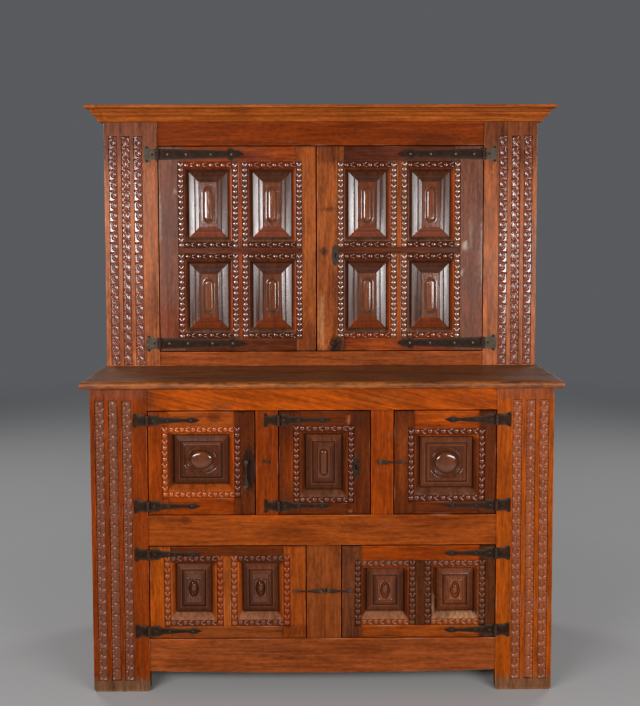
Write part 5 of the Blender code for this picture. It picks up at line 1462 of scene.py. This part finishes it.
def strap_half(along, hinge, reach):
    """A strap's half height at each distance from its knuckle."""
    neck = hinge.knuckle / 6 - IRON_GAP
    outline = [(0, neck), (HINGE_NECK, neck)]
    outline += [(HINGE_NECK + SHOULDER + spot, half) for spot, half in hinge.strap]
    outline += [(reach - spot, half) for spot, half in hinge.tip]
    return np.interp(along, *zip(*outline))


def strap_patches(hinge, axis_x, centre, reach, way, seed):
    """The strap, its knuckle and its nails, in the door's local frame."""
    along = np.arange(0, reach, IRON_STEP)
    half = strap_half(along, hinge, reach)
    patches = [plate(axis_x + way * along, half, centre, "iron", seed)]
    third = hinge.knuckle / 6 - IRON_GAP
    patches.append(barrel(axis_x, centre - third, centre + third))
    spots = (*hinge.nails, reach - hinge.tip_nail)
    return patches + [nail(axis_x + way * spot, centre, hinge.studs, STRAP_NAIL) for spot in spots]


def fixed_patches(hinge, axis_x, centre, way, seed):
    """The butterfly plate, its two fingers and outer knuckles, and its nails; way leads off the door."""
    along = np.linspace(HINGE_NECK, hinge.reach, 34)
    share = (along - HINGE_NECK) / (hinge.reach - HINGE_NECK)
    half = np.interp(share, *zip(*hinge.plate))
    scallop = -hinge.notch * (1 - np.abs(BEVEL_LINE) ** 1.3) - 0.002
    patches = [plate(axis_x + way * along, half, centre, hinge.colour, seed,
                     way * share[:, None] ** 2 * scallop)]
    third, top = hinge.knuckle / 6 + IRON_GAP, hinge.knuckle / 2
    for low, high in ((-top, -third), (third, top)):
        finger = np.linspace(0.0, HINGE_NECK + SHOULDER, 8)
        patches.append(plate(axis_x + way * finger, np.full(8, (high - low) / 2), centre + (low + high) / 2,
                             hinge.colour, seed + 1))
        patches.append(barrel(axis_x, centre + low, centre + high))
    wing = hinge.plate[-2][1] - WING_INSET
    nails = [(hinge.reach - END_INSET, wing), (hinge.reach - END_INSET, -wing), (NECK_NAIL, 0.0)]
    return patches + [nail(axis_x + way * spot, centre + z, "soot", PLATE_NAIL) for spot, z in nails]


print("hinge kinds:", len((UPPER_HINGE, LOWER_HINGE, CENTRE_HINGE)))

# %% [markdown]
# ## Hanging the doors
# A hinge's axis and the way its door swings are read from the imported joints, so iron and motion can't differ.
# The strap rides on its door. The butterfly plates and outer knuckles stay with the case.

# %% Hang the hinges
AXES = {joint["child"]: joint for joint in frame["joints"]}
for order, leaf in enumerate(LEAVES):
    axis_x = AXES[leaf.name]["pos_m"][0]
    way = 1 if AXES[leaf.name]["axis"][2] < 0 else -1
    hinge = UPPER_HINGE if leaf.name.startswith("upper") else LOWER_HINGE
    hinge = CENTRE_HINGE if leaf.name == "lower_centre_door" else hinge
    face = face_of(leaf.name)
    fixed = []
    for place in ("top", "bottom"):
        node = f"{leaf.name}_{place}_strap"
        low, high = NODE[node]
        reach = high.x - axis_x if way > 0 else axis_x - low.x
        centre = (low.z + high.z) / 2
        seed = SEEDS["hinge"] + SEED_STEP * order + len(place)
        strap = [on_front(patch, face) for patch in strap_patches(hinge, axis_x, centre, reach, way, seed)]
        make_piece(f"{node}_forged", strap, leaf.name, IRON, [node])
        fixed += fixed_patches(hinge, axis_x, centre, -way, seed + 5)
    fixed = [on_front(patch, face) for patch in fixed]
    make_piece(f"{leaf.name}_hinge_plates", fixed, "case", IRON)

# %% [markdown]
# ## Hooks and staples
# A hook turns on a shank in its door and reaches over a staple on the muntin. It is drawn as ellipses strung
# along a line: a round eye, a thin shaft with a bead, and a broad hand-like end. A staple is a bent wire, so
# an oval is carried along its two legs and its bow.

# %% Hooks and staples
HOOK_DEPTH = -0.013
EYE_RADIUS, EYE_END = 0.0072, 0.008
SHAFT = 0.0026
# A hook's half width, first by the distance from its eye's middle, then by the distance back from its tip
HOOK_START = ((EYE_END, SHAFT), (0.014, SHAFT), (0.017, 0.0042), (0.020, SHAFT))
HOOK_HAND = ((0.047, SHAFT), (0.044, 0.0046), (0.040, 0.0028), (0.034, 0.0030), (0.018, 0.0080),
             (0.007, 0.0083), (0.003, 0.0070), (0.0, 0.0025))
SHANK, SHANK_DEPTH = 0.0032, 0.012
SHANK_HEAD = ((0.0046, 0.0), (0.0040, -0.0016), (0.0018, -0.0020))


def hook_widths(spots, length):
    """Half widths along a hook: a ball for its eye, then the shaft, the bead and the hand."""
    outline = [*HOOK_START, *[(length - spot, half) for spot, half in HOOK_HAND]]
    widths = np.interp(spots, *zip(*outline))
    ball = np.sqrt(np.clip(EYE_RADIUS ** 2 - spots ** 2, 0, None))
    return np.where(spots < EYE_END, np.maximum(ball, np.where(spots > 0, SHAFT, 0.0006)), widths)


def hook_patches(length, angle, x, z):
    """Ellipses along the hook, by half width and half thickness, then its shank and the shank's head."""
    eye = EYE_RADIUS * np.sin(np.linspace(-1.45, 1.1, 9))
    spots = np.concatenate([eye, np.linspace(EYE_END, length, 40)])
    widths = hook_widths(spots, length)
    flat = np.interp(spots, (0.0, 0.01, length - 0.03, length), (0.0020, 0.0020, 0.0019, 0.0016))
    thick = np.minimum(widths, flat)
    turn = np.arange(12) / 12 * math.tau
    aside = widths[:, None] * np.cos(turn)
    aside = aside + np.interp(spots, (length - 0.012, length), (0.0, -0.0030))[:, None]
    cos, sin = math.cos(math.radians(angle)), math.sin(math.radians(angle))
    rings = np.stack([x + spots[:, None] * cos - aside * sin, HOOK_DEPTH + thick[:, None] * np.sin(turn),
                      z + spots[:, None] * sin + aside * cos], axis=-1)
    # The eye and the tip of the hand are rubbed grey, partly as a painted highlight
    wear = np.interp(spots, (-0.008, 0.0, 0.02, length - 0.012, length), (0.7, 0.75, 0.55, 0.6, 0.95))
    head_radii, head_depths = np.array(SHANK_HEAD).T
    return [loft(rings, rings, TONES["iron"], wear[:, None]),
            turned((SHANK, SHANK), (HOOK_DEPTH, SHANK_DEPTH), (x, 0, z), 1),
            turned(head_radii, HOOK_DEPTH + head_depths, (x, 0, z), 1, wear=0.7)]


# Each hook's angle in degrees as it hangs or lies at rest
HOOKS = {"lower_left_hook": -90, "lower_right_hook": 180, "bottom_left_hook": 0, "bottom_right_hook": 180}
for name, angle in HOOKS.items():
    low, high = NODE[name]
    x, _, z = AXES[name]["pos_m"]
    length = max(high.x - x, x - low.x, z - low.z)
    patches = [on_front(patch, LOWER_FACE) for patch in hook_patches(length, angle, x, z)]
    make_piece(f"{name}_forged", patches, name, IRON, [name])

STAPLE_WIRE, STAPLE_TALL, STAPLE_LEG = 0.002, 0.0048, 0.010


def staple_patch(low, high):
    """A wire of oval section carried along two legs and half an ellipse in front of the wood."""
    x, z = (low.x + high.x) / 2, (low.z + high.z) / 2
    half = (high.x - low.x) / 2 - STAPLE_WIRE
    bend = LOWER_FACE - low.y - STAPLE_WIRE
    turn = np.linspace(0, math.pi, 17)
    route = np.stack([x + half * np.cos(turn), -bend * np.sin(turn)], axis=-1)
    route = np.concatenate([[(x + half, STAPLE_LEG)], route, [(x - half, STAPLE_LEG)]])
    way = np.gradient(route, axis=0)
    way /= np.linalg.norm(way, axis=1, keepdims=True)
    round_turn = np.arange(10) / 10 * math.tau
    flat = STAPLE_WIRE * np.cos(round_turn)
    rings = np.stack([route[:, :1] - way[:, 1:] * flat, route[:, 1:] + way[:, :1] * flat,
                      np.broadcast_to(z + STAPLE_TALL * np.sin(round_turn), (len(route), 10))], axis=-1)
    return loft(rings, rings, TONES["iron"], np.full(rings.shape[:2], 0.6))


for name in ("left_muntin_staple", "right_muntin_staple", "bottom_muntin_staple"):
    staple = on_front(staple_patch(*NODE[name]), LOWER_FACE)
    make_piece(f"{name}_wire", [staple], "case", IRON, [name])

# %% [markdown]
# ## Keyhole plates
# A keyhole plate is a thin iron sheet, cut round with scrolls and pierced for the key. A flat disc with a
# hole cut in it would have no thickness at the hole's edge. So one ring of section is carried round the hole,
# from the hole's edge out to the rim, and a dark plug of painted shade closes the hole behind.

# %% Keyhole plates
KEY_ROUND, KEY_SLOT, KEY_DROP = 0.0045, 0.0025, 0.014
PLATE_LIFT, PLATE_RIM = 0.002, 0.0012
SCROLLS, SCROLL_CUT = 8, 0.12
PLUG_DEPTH, PLUG_SHADE = 0.004, 0.2
# The plate's section: its share of the way from the hole to the rim, its depth and its wear
PLATE_SECTION = ((0.0, -IRON_GAP, PLAIN), (0.0, -PLATE_LIFT, 0.7), (0.06, -PLATE_LIFT - IRON_GAP, 0.55),
                 (0.80, -PLATE_LIFT - IRON_GAP, PLAIN), (0.95, -PLATE_LIFT, 0.7), (1.0, -PLATE_RIM, 0.6),
                 (1.0, -IRON_GAP, PLAIN))


def keyhole_patches(low, high, colour):
    """A loop of section round the keyhole; the hole is a circle with a slot, and the rim is scrolled."""
    x, middle = (low.x + high.x) / 2, (low.z + high.z) / 2
    width, tall = (high.x - low.x) / 2, (high.z - low.z) / 2
    turn = np.linspace(0, math.tau, 96, endpoint=False)
    aside, rise = np.sin(turn), np.cos(turn)
    slot = np.minimum(KEY_DROP / np.maximum(-rise, 1e-6), KEY_SLOT / np.maximum(np.abs(aside), 1e-6))
    hole = np.where(rise < 0, np.maximum(KEY_ROUND, np.minimum(slot, KEY_DROP)), KEY_ROUND)
    scroll = 1 - SCROLL_CUT * (1 - np.cos(SCROLLS * turn)) / 2
    round_x, round_z = (np.sign(side) * np.abs(side) ** 0.7 for side in (aside, rise))
    inner = np.stack([x + hole * aside, middle + KEY_DROP / 4 + hole * rise], axis=-1)
    outer = np.stack([x + width * round_x * scroll, middle + tall * round_z * scroll], axis=-1)
    share, level, wear = (column[:, None] for column in np.array(PLATE_SECTION).T)
    flat = inner + (outer - inner) * share[..., None]
    rings = np.stack([flat[..., 0], np.broadcast_to(level, flat.shape[:2]), flat[..., 1]], axis=-1)
    hole_x, hole_z = np.broadcast_to(inner.T[:, None], (2, 2, len(inner)))
    plug_level = np.broadcast_to(np.array((-IRON_GAP, PLUG_DEPTH))[:, None], hole_x.shape)
    plug = np.stack([hole_x, plug_level, hole_z], axis=-1)
    # The plug is a dark sheet of painted shade seen through the hole
    return [loft(rings, rings, TONES[colour], wear, loop=True),
            loft(plug, plug, TONES["soot"] * PLUG_SHADE, PLAIN)]


for name, door, colour in (("upper_escutcheon", "upper_right_door", "pewter"),
                           ("lower_escutcheon", "lower_centre_door", "iron")):
    patches = [on_front(patch, face_of(door)) for patch in keyhole_patches(*NODE[name], colour)]
    make_piece(f"{name}_scrolled", patches, door, IRON, [name])

# %% [markdown]
# ## Locks
# The lock cases and their bolts are behind the doors and are seen only when a door is open. Their solids are
# right as they are, so they only take a plain iron.

# %% Locks
LOCK_VALUES = {"Tone": (*TONES["iron"], 1.0), "Wear": 0.55}
LOCK_IRON = in_object_space("lock_iron", FORGED_IRON, "Place", LOCK_VALUES, IRON_BUMP,
                            metallic=0.1, specular=0.2)
for name in ("upper_lock_case", "lower_lock_case", "upper_lock_bolt", "lower_lock_bolt"):
    dress(name, LOCK_IRON)
print("locks dressed")

# %% [markdown]
# ## The floor
# The floor is pale and plain. It fades out with distance, which leaves no hard horizon behind the piece.

# %% Floor
FLOOR_HALF = 9.0
FLOOR_DROP = 0.0005
FLOOR_TONE, FLOOR_ROUGHNESS = (0.48, 0.475, 0.47, 1.0), 0.85
FADE_FROM, FADE_TO = 1.9, 6.5
SQUARE = ((-1, -1), (1, -1), (1, 1), (-1, 1))
floor_corners = [(x * FLOOR_HALF, y * FLOOR_HALF, -FLOOR_DROP) for x, y in SQUARE]
floor_mesh = bpy.data.meshes.new("floor")
floor_mesh.from_pydata(floor_corners, [], [(0, 1, 2, 3)])
floor = bpy.data.objects.new("floor", floor_mesh)
bpy.context.scene.collection.objects.link(floor)
pale = bpy.data.materials.new("pale_floor")
pale.use_nodes = True
tree = pale.node_tree
shader = tree.nodes["Principled BSDF"]
shader.inputs["Base Color"].default_value = FLOOR_TONE
shader.inputs["Roughness"].default_value = FLOOR_ROUGHNESS
where = add_node(tree, "ShaderNodeTexCoord")
distance = add_node(tree, "ShaderNodeVectorMath", operation="LENGTH")
feed(tree, distance.inputs[0], where.outputs["Object"])
fade = add_node(tree, "ShaderNodeMixShader")
feed(tree, fade.inputs[0], span(tree, distance.outputs["Value"], FADE_FROM, FADE_TO))
feed(tree, fade.inputs[1], shader.outputs[0])
feed(tree, fade.inputs[2], add_node(tree, "ShaderNodeBsdfTransparent").outputs[0])
feed(tree, tree.nodes["Material Output"].inputs["Surface"], fade.outputs[0])
floor_mesh.materials.append(pale)
print("floor laid")

# %% [markdown]
# ## The lights
# Two long, low soft lights stand either side of the camera, so the slopes of the panels catch them and the
# flat faces don't. Two weaker ones behind keep the back from going black, and a dim even world fills the
# shadows.

# %% Lights
AIM = Vector((0.0, 0.0, 1.10))
WORLD_TONE = (0.10, 0.103, 0.11, 1.0)
# Each light: its name, place, width, height and power
SOFT_LIGHTS = (
    ("left_softbox", (-1.85, -2.65, 1.62), 1.90, 0.46, 62.0),
    ("right_softbox", (1.85, -2.65, 1.28), 1.90, 0.50, 52.0),
    ("back_left_fill", (-3.2, 3.0, 2.6), 1.6, 1.6, 50.0),
    ("back_right_fill", (3.2, 3.0, 2.6), 1.6, 1.6, 50.0),
)
for name, place, width, height, power in SOFT_LIGHTS:
    lamp = bpy.data.lights.new(name, "AREA")
    lamp.shape = "RECTANGLE"
    lamp.size, lamp.size_y, lamp.energy = width, height, power
    light = bpy.data.objects.new(name, lamp)
    light.location = place
    light.rotation_euler = (AIM - Vector(place)).to_track_quat("-Z", "Y").to_euler()
    light.visible_camera = False
    bpy.context.scene.collection.objects.link(light)

world = bpy.data.worlds.new("studio")
world.use_nodes = True
world.node_tree.nodes["Background"].inputs["Color"].default_value = WORLD_TONE
bpy.context.scene.world = world
print("lights:", len(SOFT_LIGHTS))

# %% End
print("scene built")
